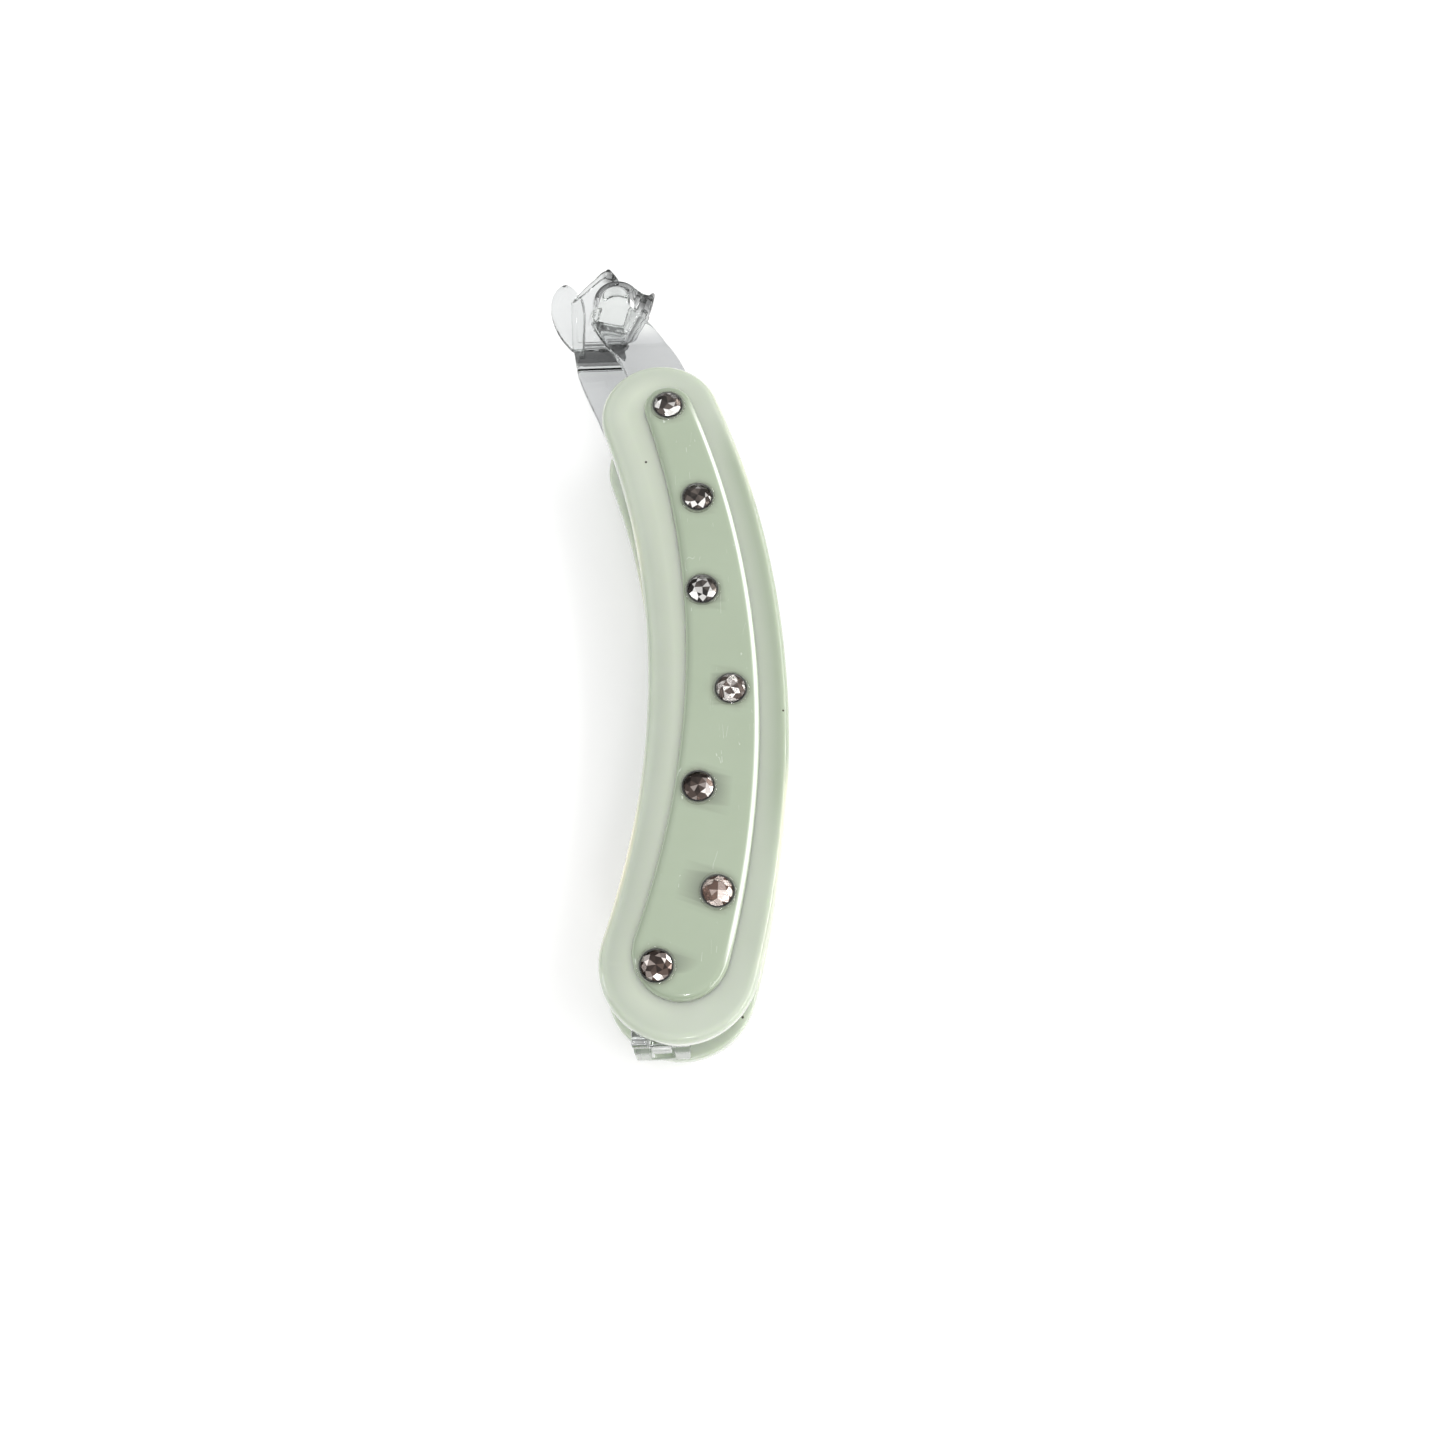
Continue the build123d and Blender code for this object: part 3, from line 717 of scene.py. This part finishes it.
# Painted reflection tones to draw from: a dull, a duller and a bright stone's facets, and the facets given
# painted highlights
PAINTED_REFLECTION_TONES = [(0.0, 0.1, 0.3, 0.5, 0.75), (0.0, 0.05, 0.2, 0.35, 0.6), (0.35, 0.5, 0.65, 0.8, 0.95)]
PAINTED_GLINT_TONES = (0.85, 0.95, 1.0, 0.4)

# Each stone's turn and tilts in its pocket, in degrees, its row of painted reflection tones, how pink and how
# crazed it is, and the directions, in degrees, of the facets given painted highlights
Stone = namedtuple("Stone", "turn tilts tones warm craze glints")
STONE_LOOKS = [
    Stone(8, (3, 1), 0, 0.1, 0.15, (-60, -110, 170)),
    Stone(20, (-2, 3), 0, 0.1, 0.1, (-135, -60, 75)),
    Stone(0, (0, 0), 0, 0.0, 0.03, (-140, -25, 100)),
    Stone(31, (2, -2), 2, 0.3, 1.0, (-100, 60)),
    Stone(14, (-3, -1), 1, 0.45, 0.03, (-30, 10)),
    Stone(40, (1, 2), 2, 1.0, 0.8, (-60, 120)),
    Stone(5, (-1, -3), 1, 0.6, 0.03, (-95, 150, 20)),
]


def gem_shape():
    """Vertices and faces of one stone about its own centre, face of the overlay at z = 0."""
    table_z = STONE_TOP - FACE_TOP
    slope = (table_z - GIRDLE_RISE) / (GIRDLE_RADIUS - TABLE_RADIUS)
    star_z = table_z - (STAR_RADIUS * math.cos(HALF_FACET) - TABLE_RADIUS) * slope

    def polar(radius, eighths, z):
        angle = math.pi / 4 * eighths
        return Vector((radius * math.cos(angle), radius * math.sin(angle), z))

    vertices = [polar(TABLE_RADIUS, i, table_z) for i in range(8)]
    vertices += [polar(STAR_RADIUS, i + 0.5, star_z) for i in range(8)]
    vertices += [polar(GIRDLE_RADIUS, i / 2, GIRDLE_RISE) for i in range(16)]
    vertices += [polar(GIRDLE_RADIUS, i / 2, GIRDLE_RISE - GIRDLE_BAND) for i in range(16)]
    ring_z = GIRDLE_RISE - GIRDLE_BAND
    drawn_in = PAVILION_RING / GIRDLE_RADIUS / math.cos(HALF_FACET) * PAVILION_FULLNESS
    ring_z -= (ring_z + CULET_DEPTH) * (1 - drawn_in)
    vertices += [polar(PAVILION_RING, i + 0.5, ring_z) for i in range(8)]
    vertices += [Vector((0, 0, -CULET_DEPTH)), Vector((0, 0, table_z))]
    star, girdle, band, pavilion, culet, hub = 8, 16, 32, 48, 56, 57
    crown, back, belt = [], [], []
    for i in range(8):
        j = (i + 1) % 8
        crown.append((hub, i, j))
        crown.append((i, j, star + i))
        crown.append((i, star + (i - 1) % 8, girdle + 2 * i, star + i))
        crown.append((star + i, girdle + 2 * i, girdle + 2 * i + 1))
        crown.append((star + i, girdle + 2 * i + 1, girdle + (2 * i + 2) % 16))
        back.append((culet, pavilion + (i - 1) % 8, band + 2 * i))
        back.append((culet, band + 2 * i, pavilion + i))
        back.append((pavilion + i, band + 2 * i, band + 2 * i + 1))
        back.append((pavilion + i, band + 2 * i + 1, band + (2 * i + 2) % 16))
    for i in range(16):
        j = (i + 1) % 16
        belt.append((girdle + i, girdle + j, band + j, band + i))
    return vertices, crown, belt, back


def rhinestone(side, number, material):
    vertices, crown, belt, back = gem_shape()
    stone = STONE_LOOKS[number - 1]
    centre = stone_centre(number, side)
    turn = Matrix.Rotation(math.radians(stone.turn), 3, "Z")
    tilt_x, tilt_y = (math.radians(tilt) for tilt in stone.tilts)
    lean = Matrix.Rotation(tilt_x, 3, "X") @ Matrix.Rotation(tilt_y, 3, "Y")
    moved = [lean @ turn @ vertex for vertex in vertices]
    proud = max(vertex.z for vertex in moved) - (STONE_TOP - FACE_TOP)
    placed = [
        place((centre.x + v.x, centre.y + v.y, FACE_TOP + v.z - max(0.0, proud)), side) for v in moved
    ]
    piece = new_object(f"{side}_stone_{number}", placed, crown + belt + back, smooth=False)
    mesh = piece.data
    random.seed(100 * number + (7 if side == "rear" else 0))
    tones = []
    for face in mesh.polygons:
        total = sum((mesh.vertices[i].co for i in face.vertices), Vector())
        spoke = (total / len(face.vertices) / MM - ORIGIN).xy - centre
        angle = math.degrees(math.atan2(spoke.y, spoke.x))
        # Facets in a listed direction, away from the middle, get bright painted highlights; the rest get
        # painted reflections
        painted_glint = any(abs((angle - way + 180) % 360 - 180) < PAINTED_GLINT_REACH for way in stone.glints)
        bright = painted_glint and spoke.length > PAINTED_GLINT_FROM
        tones.append(random.choice(PAINTED_GLINT_TONES if bright else PAINTED_REFLECTION_TONES[stone.tones]))
    # The belt gets the darkest value
    for index in range(len(crown), len(crown) + len(belt)):
        tones[index] = 0.0
    paint_faces(mesh, "tone", tones)
    paint_faces(mesh, "warm", [stone.warm] * len(tones))
    paint_faces(mesh, "craze", [stone.craze] * len(tones))
    nodes = [f"{side}_rhinestone_{number}"]
    return finish_piece(piece, f"{side}_arm", nodes, material)


GLUE_CLEAR = 0.01            # between the glue and the stone, and the pocket's wall
GLUE_LIFT = 0.004            # between the glue and the overlay's face
GLUE_STEPS = 72
# The section of the ring of glue as (radius, height above the overlay), from the pocket's floor
GLUE_SECTION = [
    (GIRDLE_RADIUS + GLUE_CLEAR, -POCKET_DEPTH + 0.02), (POCKET_RADIUS - GLUE_CLEAR, -POCKET_DEPTH + 0.02),
    (POCKET_RADIUS - GLUE_CLEAR, GLUE_LIFT), (2.72, GLUE_LIFT), (2.70, 0.06), (2.62, 0.13), (2.50, 0.19),
    (2.38, 0.23), (2.28, 0.255), (2.20, 0.27), (GIRDLE_RADIUS + GLUE_CLEAR, 0.28),
]
GLUE_SWELLS = (0.022, 0.012)                 # shares by which two waves round the ring widen it
GLUE_PAINTED_SHADE = 0.9             # strength of the painted shade on the glue beside the stone
GLUE_PAINTED_SHADE_EDGE = (2.42, 0.16)               # radius where it begins, and the width over which it comes in


def glue_ring(side, number, material):
    """A meniscus of clear glue: it climbs the stone's belt and thins out over the overlay."""
    centre = stone_centre(number, side)
    vertices, faces = [], []
    random.seed(number)
    phase = random.uniform(0, 6.28)
    for step in range(GLUE_STEPS):
        angle = 2 * math.pi * step / GLUE_STEPS
        swell = 1 + GLUE_SWELLS[0] * math.sin(angle * 2 + phase)
        swell += GLUE_SWELLS[1] * math.sin(angle * 3 + 2 * phase)
        for radius, z in GLUE_SECTION:
            reach = radius * swell if radius > POCKET_RADIUS else radius
            vertices.append(place((
                centre.x + reach * math.cos(angle), centre.y + reach * math.sin(angle), FACE_TOP + z,
            ), side))
    count = len(GLUE_SECTION)
    for step in range(GLUE_STEPS):
        here, there = step * count, ((step + 1) % GLUE_STEPS) * count
        for i in range(count):
            j = (i + 1) % count
            faces.append((here + i, here + j, there + j, there + i))
    piece = new_object(f"{side}_glue_{number}", vertices, faces)
    sharp_by_angle(piece, 50.0)

    # Painted shade on the glue beside the stone, where it meets the overlay
    def painted_dark(point):
        edge, width = GLUE_PAINTED_SHADE_EDGE
        return clamp((edge - (point.xy - centre).length) / width) * GLUE_PAINTED_SHADE

    paint(piece, "painted_dark", painted_dark)
    return finish_piece(piece, f"{side}_arm", [f"{side}_adhesive_{number}"], material)


# ---------------------------------------------------------------- clear plastic

COMB_VOXEL = 0.22
COMB_SOFTENING = 9           # rounds of smoothing
CATCH_VOXEL = 0.14
CATCH_SOFTENING = 10
PAINTED_CLEAR_HINGE = 4.0            # how far past the hinge end round the painted lighter tint begins
PAINTED_CLEAR_HOOK = 20.0            # how far past the latch end round it begins on the front comb
PAINTED_CLEAR_FADE = 3.0             # length over which it comes in
PAINTED_CLEAR_HOOK_MOST = 0.8
CATCH_PAINTED_CLEAR = 0.35           # how much of the painted lighter tint the thin-walled catch gets, more than the combs


def moulded(piece, voxel, rounds):
    """Joins a piece's overlapping shapes into one soft-edged moulding."""
    remesh = piece.modifiers.new("mould", "REMESH")
    remesh.mode = "VOXEL"
    remesh.voxel_size = voxel * MM
    remesh.use_smooth_shade = True
    soften = piece.modifiers.new("soften", "SMOOTH")
    soften.factor = 0.5
    soften.iterations = rounds
    return apply_modifiers(piece)


def comb(side, material):
    node = f"{side}_comb"
    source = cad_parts[node]
    piece = bpy.data.objects.new(f"{side}_clear_comb", source.data.copy())
    bpy.context.scene.collection.objects.link(piece)
    moulded(piece, COMB_VOXEL, COMB_SOFTENING)

    # Painted lighter tint on the hinge knuckles and the hook's end
    def painted_clearing(point):
        hinge = (HINGE_END_Y - PAINTED_CLEAR_HINGE - point.y) / PAINTED_CLEAR_FADE
        hook = min(PAINTED_CLEAR_HOOK_MOST, (point.y - LATCH_BASE.y - PAINTED_CLEAR_HOOK) / PAINTED_CLEAR_FADE)
        return clamp(max(hinge, hook) if side == "front" else hinge)

    paint(piece, "painted_clearing", painted_clearing)
    return finish_piece(piece, f"{side}_arm", [node], material)


def latch_point(x, y, z=0.0):
    """A point given by its step from the centre of the latch end round."""
    return Vector((LATCH_BASE.x + x, LATCH_BASE.y + y, z))


def smooth_line(points, steps):
    """Points along a Catmull-Rom curve through the given ones, whatever values they hold."""
    rows = [points[0], *points, points[-1]]
    made = []
    for index in range(1, len(rows) - 2):
        for step in range(steps):
            t = step / steps
            made.append(tuple(
                0.5 * (2 * b + (c - a) * t + (2 * a - 5 * b + 4 * c - d) * t ** 2
                       + (3 * b - a - 3 * c + d) * t ** 3)
                for a, b, c, d in zip(*rows[index - 1:index + 3])
            ))
    return made + [tuple(points[-1])]


CAP_ANGLES = (0.5, 1.0, 1.45)                # of the rings that round a rod's end, in radians


def rod(shapes, points, steps=8, sides=14):
    """A smooth rod through (x, y, z, radius) latch points, with rounded ends."""
    line = smooth_line(points, steps)
    rings = []
    for index, (x, y, z, radius) in enumerate(line):
        before, after = line[max(0, index - 1)], line[min(len(line) - 1, index + 1)]
        along = (Vector(after[:3]) - Vector(before[:3])).normalized()
        rings.append((latch_point(x, y, z), along, radius))
    for end, sign in ((0, -1), (-1, 1)):
        centre, along, radius = rings[end]
        caps = [
            (centre + along * sign * radius * math.sin(angle), along, radius * math.cos(angle))
            for angle in CAP_ANGLES
        ]
        rings = caps[::-1] + rings if sign < 0 else rings + caps
    vertices, faces = shapes
    start = len(vertices)
    for centre, along, radius in rings:
        side = along.cross(Vector((0, 0, 1)))
        side = side.normalized() if side.length > 0.05 else Vector((1, 0, 0))
        up = side.cross(along)
        for step in range(sides):
            angle = 2 * math.pi * step / sides
            vertices.append(place(centre + (side * math.cos(angle) + up * math.sin(angle)) * radius))
    for level in range(len(rings) - 1):
        for step in range(sides):
            here, there = start + level * sides + step, start + level * sides + (step + 1) % sides
            faces.append((here, there, there + sides, here + sides))
    faces.append(tuple(range(start, start + sides)))
    faces.append(tuple(range(start + (len(rings) - 1) * sides, start + len(rings) * sides)))


def slab(shapes, outline, low, high, steps=1):
    """An upright-sided block between two heights; with steps the outline is a closed curve."""
    if steps > 1:
        wrapped = [outline[-1], *outline, outline[0], outline[1]]
        outline = smooth_line(wrapped, steps)[steps:-steps - 1]
    vertices, faces = shapes
    start, count = len(vertices), len(outline)
    for z in (low, high):
        vertices.extend(place(latch_point(x, y, z)) for x, y in outline)
    for step in range(count):
        after = (step + 1) % count
        faces.append((start + step, start + after, start + count + after, start + count + step))
    faces.append(tuple(range(start, start + count)))
    faces.append(tuple(range(start + count, start + 2 * count)))


# The catch's shapes as steps from the centre of the latch end round: outlines are (x, y), and
# rods are (x, y, z, radius)
TRAY = [
    (-14.8, 20.0), (-6.1, 20.0), (-4.1, 23.0), (-3.0, 25.3), (-1.5, 28.4), (-0.9, 30.3), (-2.3, 30.3),
    (-3.6, 31.0), (-4.4, 32.0), (-5.6, 33.0), (-6.8, 33.7), (-7.7, 35.2), (-9.1, 36.0), (-10.3, 35.0),
    (-12.8, 32.3), (-15.0, 30.2), (-14.9, 24.0),
]
TRAY_HEIGHTS = (-2.0, -0.5)
WING = [
    (-14.9, 21.8), (-16.8, 24.7), (-18.2, 28.2), (-18.9, 31.3), (-18.0, 34.1), (-16.3, 35.3),
    (-14.5, 33.8), (-13.2, 29.8), (-13.4, 22.8),
]
WING_HEIGHTS = (-3.9, -2.3)
WING_LIP = [
    (-15.0, 22.2, -3.0, 0.6), (-16.7, 24.9, -3.0, 0.75), (-17.9, 28.2, -2.9, 0.8), (-18.2, 31.2, -2.8, 0.8),
    (-17.5, 33.6, -2.8, 0.75), (-16.2, 34.6, -2.8, 0.7), (-14.8, 33.2, -2.7, 0.7),
]
SIDE_WALL = [(-14.8, 20.6), (-13.2, 20.6), (-13.4, 29.6), (-14.9, 29.6)]
FRONT_WALL = [(-14.8, 20.0), (-6.1, 20.0), (-6.1, 21.5), (-14.8, 21.5)]
FRONT_WALL_HEIGHTS = (-5.6, -0.1)
RIM = [
    (-6.0, 20.4, -1.3, 0.55), (-5.2, 21.6, -0.9, 0.55), (-4.25, 23.2, -0.5, 0.6), (-3.2, 25.3, -0.5, 0.6),
    (-2.2, 27.4, -0.1, 0.65), (-1.5, 29.2, 0.25, 0.65), (-1.0, 30.3, 0.4, 0.42),
]
RIM_SKIRT = [
    (-6.1, 20.2), (-4.2, 23.0), (-3.1, 25.3), (-1.7, 28.4), (-3.0, 28.6), (-4.5, 25.4), (-5.6, 23.0),
    (-7.4, 20.2),
]
SKIRT_FOOT = -3.3
ARCH_CENTRE = (-7.2, 29.45)
ARCH_REACH = 3.55
ARCH_TUBE = 0.45
ARCH_TURN = (-25.0, 215.0)                   # degrees where the arch begins, and how far it goes round
ARCH_STEPS = 12
ARCH_HEIGHT = 0.2
ARCH_RISE = 0.15             # how much higher its far side is, and how much lower its ends
ARCH_LEG = [(-11.3, 27.4, -0.15, 0.38), (-11.9, 25.2, -0.4, 0.3)]
SADDLE = [(-4.2, 31.3, -0.1, 0.75), (-3.0, 30.3, -0.1, 0.7), (-1.7, 29.8, 0.1, 0.6)]
SHOULDER = [
    (-7.3, 34.1, -0.7, 0.6), (-8.4, 35.3, -0.5, 0.75), (-9.3, 35.5, -0.5, 0.7), (-10.6, 34.6, -0.7, 0.5),
    (-12.9, 32.3, -0.9, 0.5), (-14.9, 30.2, -1.2, 0.45),
]
KNOB = [(-8.5, 35.3, -0.3, 0.8), (-8.6, 35.6, 0.1, 0.6)]
LEFT_EDGE = [
    (-14.5, 20.5, -0.6, 0.5), (-14.6, 24.0, -0.6, 0.5), (-14.7, 27.5, -0.7, 0.5), (-14.7, 30.0, -1.0, 0.5),
]
BEAD_POINTS = [(-13.8, 20.4, -6.0, 1.0), (-7.1, 20.4, -6.0, 1.0)]

# The hook's opening through the catch
HOOK_CENTRE = Vector((-7.4, 28.6))
HOOK_TILT = 15.0
WINDOW_RADIUS = 2.9
WINDOW_ROUND = 0.85
WINDOW_FOOT = -5.0
WINDOW_HEIGHTS = (-4.5, 2.0)
WINDOW_STEPS = 24

# Where the catch is painted dark, standing in for dark refraction: its thick front wall, and about its horn,
# arch, knob and rim
WALL_END_Y = 21.8
WALL_HEIGHTS = (-5.0, -0.6)
HORN_AT = Vector((-2.2, 29.8))
HORN_REACH = 2.6
HORN_PAINTED_DARK = 1.3
ARCH_LINE_STEP = 0.25        # how far outside the arch's own line the painted dark line runs
ARCH_PAINTED_DARK_REACH = 0.6
ARCH_NEAR_PAINTED_DARK = 0.3        # of the arch's near side, where its far side has 1
ARCH_FAR_Y = 29.5
KNOB_AT = Vector((-8.3, 35.0))
KNOB_REACH = 1.8
RIM_LINE = (-6.1, 20.0, 0.5)                 # a point of the rim and how far it goes across for its length
RIM_REACH = 0.8
RIM_PAINTED_DARK = (0.9, 0.3)       # below and above RIM_PAINTED_DARK_TOP
RIM_PAINTED_DARK_TOP = 0.1


def catch_shapes():
    """The catch's overlapping shapes, before they are joined into one moulding."""
    shapes = ([], [])
    slab(shapes, TRAY, *TRAY_HEIGHTS)
    slab(shapes, WING, *WING_HEIGHTS, steps=6)
    slab(shapes, SIDE_WALL, WING_HEIGHTS[0], TRAY_HEIGHTS[1])
    slab(shapes, FRONT_WALL, *FRONT_WALL_HEIGHTS)
    slab(shapes, RIM_SKIRT, SKIRT_FOOT, TRAY_HEIGHTS[1])
    for points in (WING_LIP, RIM, SADDLE, SHOULDER, KNOB, LEFT_EDGE, BEAD_POINTS):
        rod(shapes, points)
    arch = []
    start, sweep = ARCH_TURN
    for step in range(ARCH_STEPS + 1):
        angle = math.radians(start + sweep * step / ARCH_STEPS)
        x = ARCH_CENTRE[0] + ARCH_REACH * math.cos(angle)
        y = ARCH_CENTRE[1] + ARCH_REACH * math.sin(angle)
        arch.append((x, y, ARCH_HEIGHT + ARCH_RISE * math.sin(angle), ARCH_TUBE))
    rod(shapes, arch + ARCH_LEG, steps=3)
    return shapes


def hook_window():
    """The opening that the hook goes through, as a block to cut with."""
    tilt = Matrix.Rotation(math.radians(-HOOK_TILT), 2)
    outline = [(WINDOW_RADIUS, WINDOW_FOOT)]
    for step in range(WINDOW_STEPS + 1):
        angle = math.pi * step / WINDOW_STEPS
        outline.append((WINDOW_RADIUS * math.cos(angle), WINDOW_ROUND + WINDOW_RADIUS * math.sin(angle)))
    outline.append((-WINDOW_RADIUS, WINDOW_FOOT))
    turned = [HOOK_CENTRE + tilt @ Vector(point) for point in outline]
    shapes = ([], [])
    slab(shapes, [tuple(point) for point in turned], *WINDOW_HEIGHTS)
    return new_object("window", *shapes, smooth=False)


def catch_painted_dark(point):
    """How dark the catch's plastic is painted at a point of the arms' frame, from 0 to 1, standing in for
    dark refraction.
    """
    at = point.xy - LATCH_BASE
    wall = 1.0 if at.y < WALL_END_Y and WALL_HEIGHTS[0] < point.z < WALL_HEIGHTS[1] else 0.0
    horn = max(0.0, 1.0 - (at - HORN_AT).length / HORN_REACH) * HORN_PAINTED_DARK
    off_arch = abs((at - Vector(ARCH_CENTRE)).length - ARCH_REACH - ARCH_LINE_STEP)
    arch = max(0.0, 1.0 - off_arch / ARCH_PAINTED_DARK_REACH) * (1.0 if at.y > ARCH_FAR_Y else ARCH_NEAR_PAINTED_DARK)
    knob = max(0.0, 1.0 - (at - KNOB_AT).length / KNOB_REACH)
    start_x, start_y, slant = RIM_LINE
    off_rim = abs(at.x - (start_x + (at.y - start_y) * slant))
    rim = max(0.0, 1.0 - off_rim / RIM_REACH) * (RIM_PAINTED_DARK[0] if point.z < RIM_PAINTED_DARK_TOP else RIM_PAINTED_DARK[1])
    return min(1.0, max(wall, horn, arch, knob, rim))


def catch(material):
    piece = new_object("clear_catch", *catch_shapes())
    tool = hook_window()
    join = piece.modifiers.new("join", "REMESH")
    join.mode, join.voxel_size = "VOXEL", CATCH_VOXEL * MM
    cut = piece.modifiers.new("window", "BOOLEAN")
    cut.operation, cut.solver, cut.object = "DIFFERENCE", "EXACT", tool
    moulded(piece, CATCH_VOXEL, CATCH_SOFTENING)
    bpy.data.objects.remove(tool)
    # Painted dark lines standing in for dark refraction
    paint(piece, "painted_dark", catch_painted_dark)
    # The whole catch gets some of the painted lighter tint
    paint(piece, "painted_clearing", lambda point: CATCH_PAINTED_CLEAR)
    return finish_piece(piece, "latch_catch", ["latch_catch"], material)


# ---------------------------------------------------------------- stage, light and camera

CAMERA_TILT = 21.0
CAMERA_TURN = -2.34
CAMERA_REACH = 211.0
CAMERA_AIM = (4.34, -8.19)   # from the middle of the front plate, in millimetres
LENS = 36.0                  # as wide as the sensor, in millimetres
TABLE_REACH = 12.0           # from the middle of the table to each side, in metres


def camera():
    low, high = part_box("front_plate")
    aim = Vector(((low.x + high.x) / 2, (low.y + high.y) / 2, high.z))
    aim += Vector((CAMERA_AIM[0], CAMERA_AIM[1], 0)) * MM
    tilt, turn = math.radians(CAMERA_TILT), math.radians(CAMERA_TURN)
    spin = Matrix.Rotation(turn, 3, "Z")
    back = spin @ Vector((0, -math.sin(tilt), math.cos(tilt)))
    up = spin @ Vector((0, math.cos(tilt), math.sin(tilt)))
    right = up.cross(back)
    data = bpy.data.cameras.new("camera")
    data.lens = LENS
    data.sensor_width = LENS
    data.clip_start = 0.005
    data.dof.use_dof = False
    made = bpy.data.objects.new("camera", data)
    turned = Matrix((right, up, back)).transposed().to_4x4()
    made.matrix_world = Matrix.Translation(aim + back * CAMERA_REACH * MM) @ turned
    bpy.context.scene.collection.objects.link(made)
    bpy.context.scene.camera = made


def table_top():
    corners = ((-1, -1), (1, -1), (1, 1), (-1, 1))
    vertices = [(x * TABLE_REACH, y * TABLE_REACH, 0.0) for x, y in corners]
    piece = new_object("table_top", vertices, [(0, 1, 2, 3)], smooth=False)
    piece.data.materials.append(white_table())


def softbox(name, position, size, radiance, colour=(1, 1, 1)):
    """A rectangular lamp of the given radiance, turned to the clip."""
    light = bpy.data.lights.new(name, "AREA")
    light.shape = "RECTANGLE"
    light.size, light.size_y = size
    light.energy = radiance * math.pi * size[0] * size[1]
    light.color = colour
    made = bpy.data.objects.new(name, light)
    made.location = position
    made.rotation_mode = "QUATERNION"
    made.rotation_quaternion = (-Vector(position)).to_track_quat("-Z", "Y")
    bpy.context.scene.collection.objects.link(made)


# Brightness of the room from straight down to straight up
ROOM_STOPS = [(0.0, 0.16), (0.14, 0.2), (0.35, 0.55), (0.62, 1.05), (1.0, 1.15)]


def room():
    world = bpy.data.worlds.new("room")
    world.use_nodes = True
    tree = world.node_tree
    tree.nodes.clear()
    direction = tree.nodes.new("ShaderNodeTexCoord")
    split = tree.nodes.new("ShaderNodeSeparateXYZ")
    ramp = tree.nodes.new("ShaderNodeValToRGB")
    shade = tree.nodes.new("ShaderNodeBackground")
    out = tree.nodes.new("ShaderNodeOutputWorld")
    tree.links.new(direction.outputs["Generated"], split.inputs[0])
    tree.links.new(split.outputs["Z"], ramp.inputs["Fac"])
    elements = ramp.color_ramp.elements
    while len(elements) < len(ROOM_STOPS):
        elements.new(0.5)
    for element, (where, value) in zip(elements, ROOM_STOPS):
        element.position = where
        element.color = (value, value, value, 1)
    tree.links.new(ramp.outputs["Color"], shade.inputs["Color"])
    shade.inputs["Strength"].default_value = 1.0
    tree.links.new(shade.outputs["Background"], out.inputs["Surface"])
    bpy.context.scene.world = world


def lights():
    softbox("window_right", (0.85, 0.0, 0.36), (2.0, 0.16), 8.5, (1.0, 0.99, 0.97))
    softbox("window_left", (-0.9, -0.12, 0.34), (0.28, 0.3), 5.0, (0.97, 0.99, 1.0))
    softbox("lamp_front", (0.05, -0.6, 0.62), (0.1, 0.08), 22.0)
    room()


def looks():
    view = bpy.context.scene.view_settings
    view.view_transform = "Standard"
    view.look = "None"
    view.exposure = 0.0
    view.gamma = 1.0


def main():
    camera()
    table_top()
    lights()
    looks()
    jelly, pastel, foil = jelly_plastic(), pastel_plastic(), stone_foil()
    clear, glue = clear_plastic(), clear_glue()
    for side in ("front", "rear"):
        plate(side, jelly)
        overlay(side, pastel)
        comb(side, clear)
        for number in range(1, STONES + 1):
            rhinestone(side, number, foil)
            glue_ring(side, number, glue)
    catch(clear)
    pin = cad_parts["hinge_pin"]
    pin.data.materials.clear()
    pin.data.materials.append(pin_steel())


main()
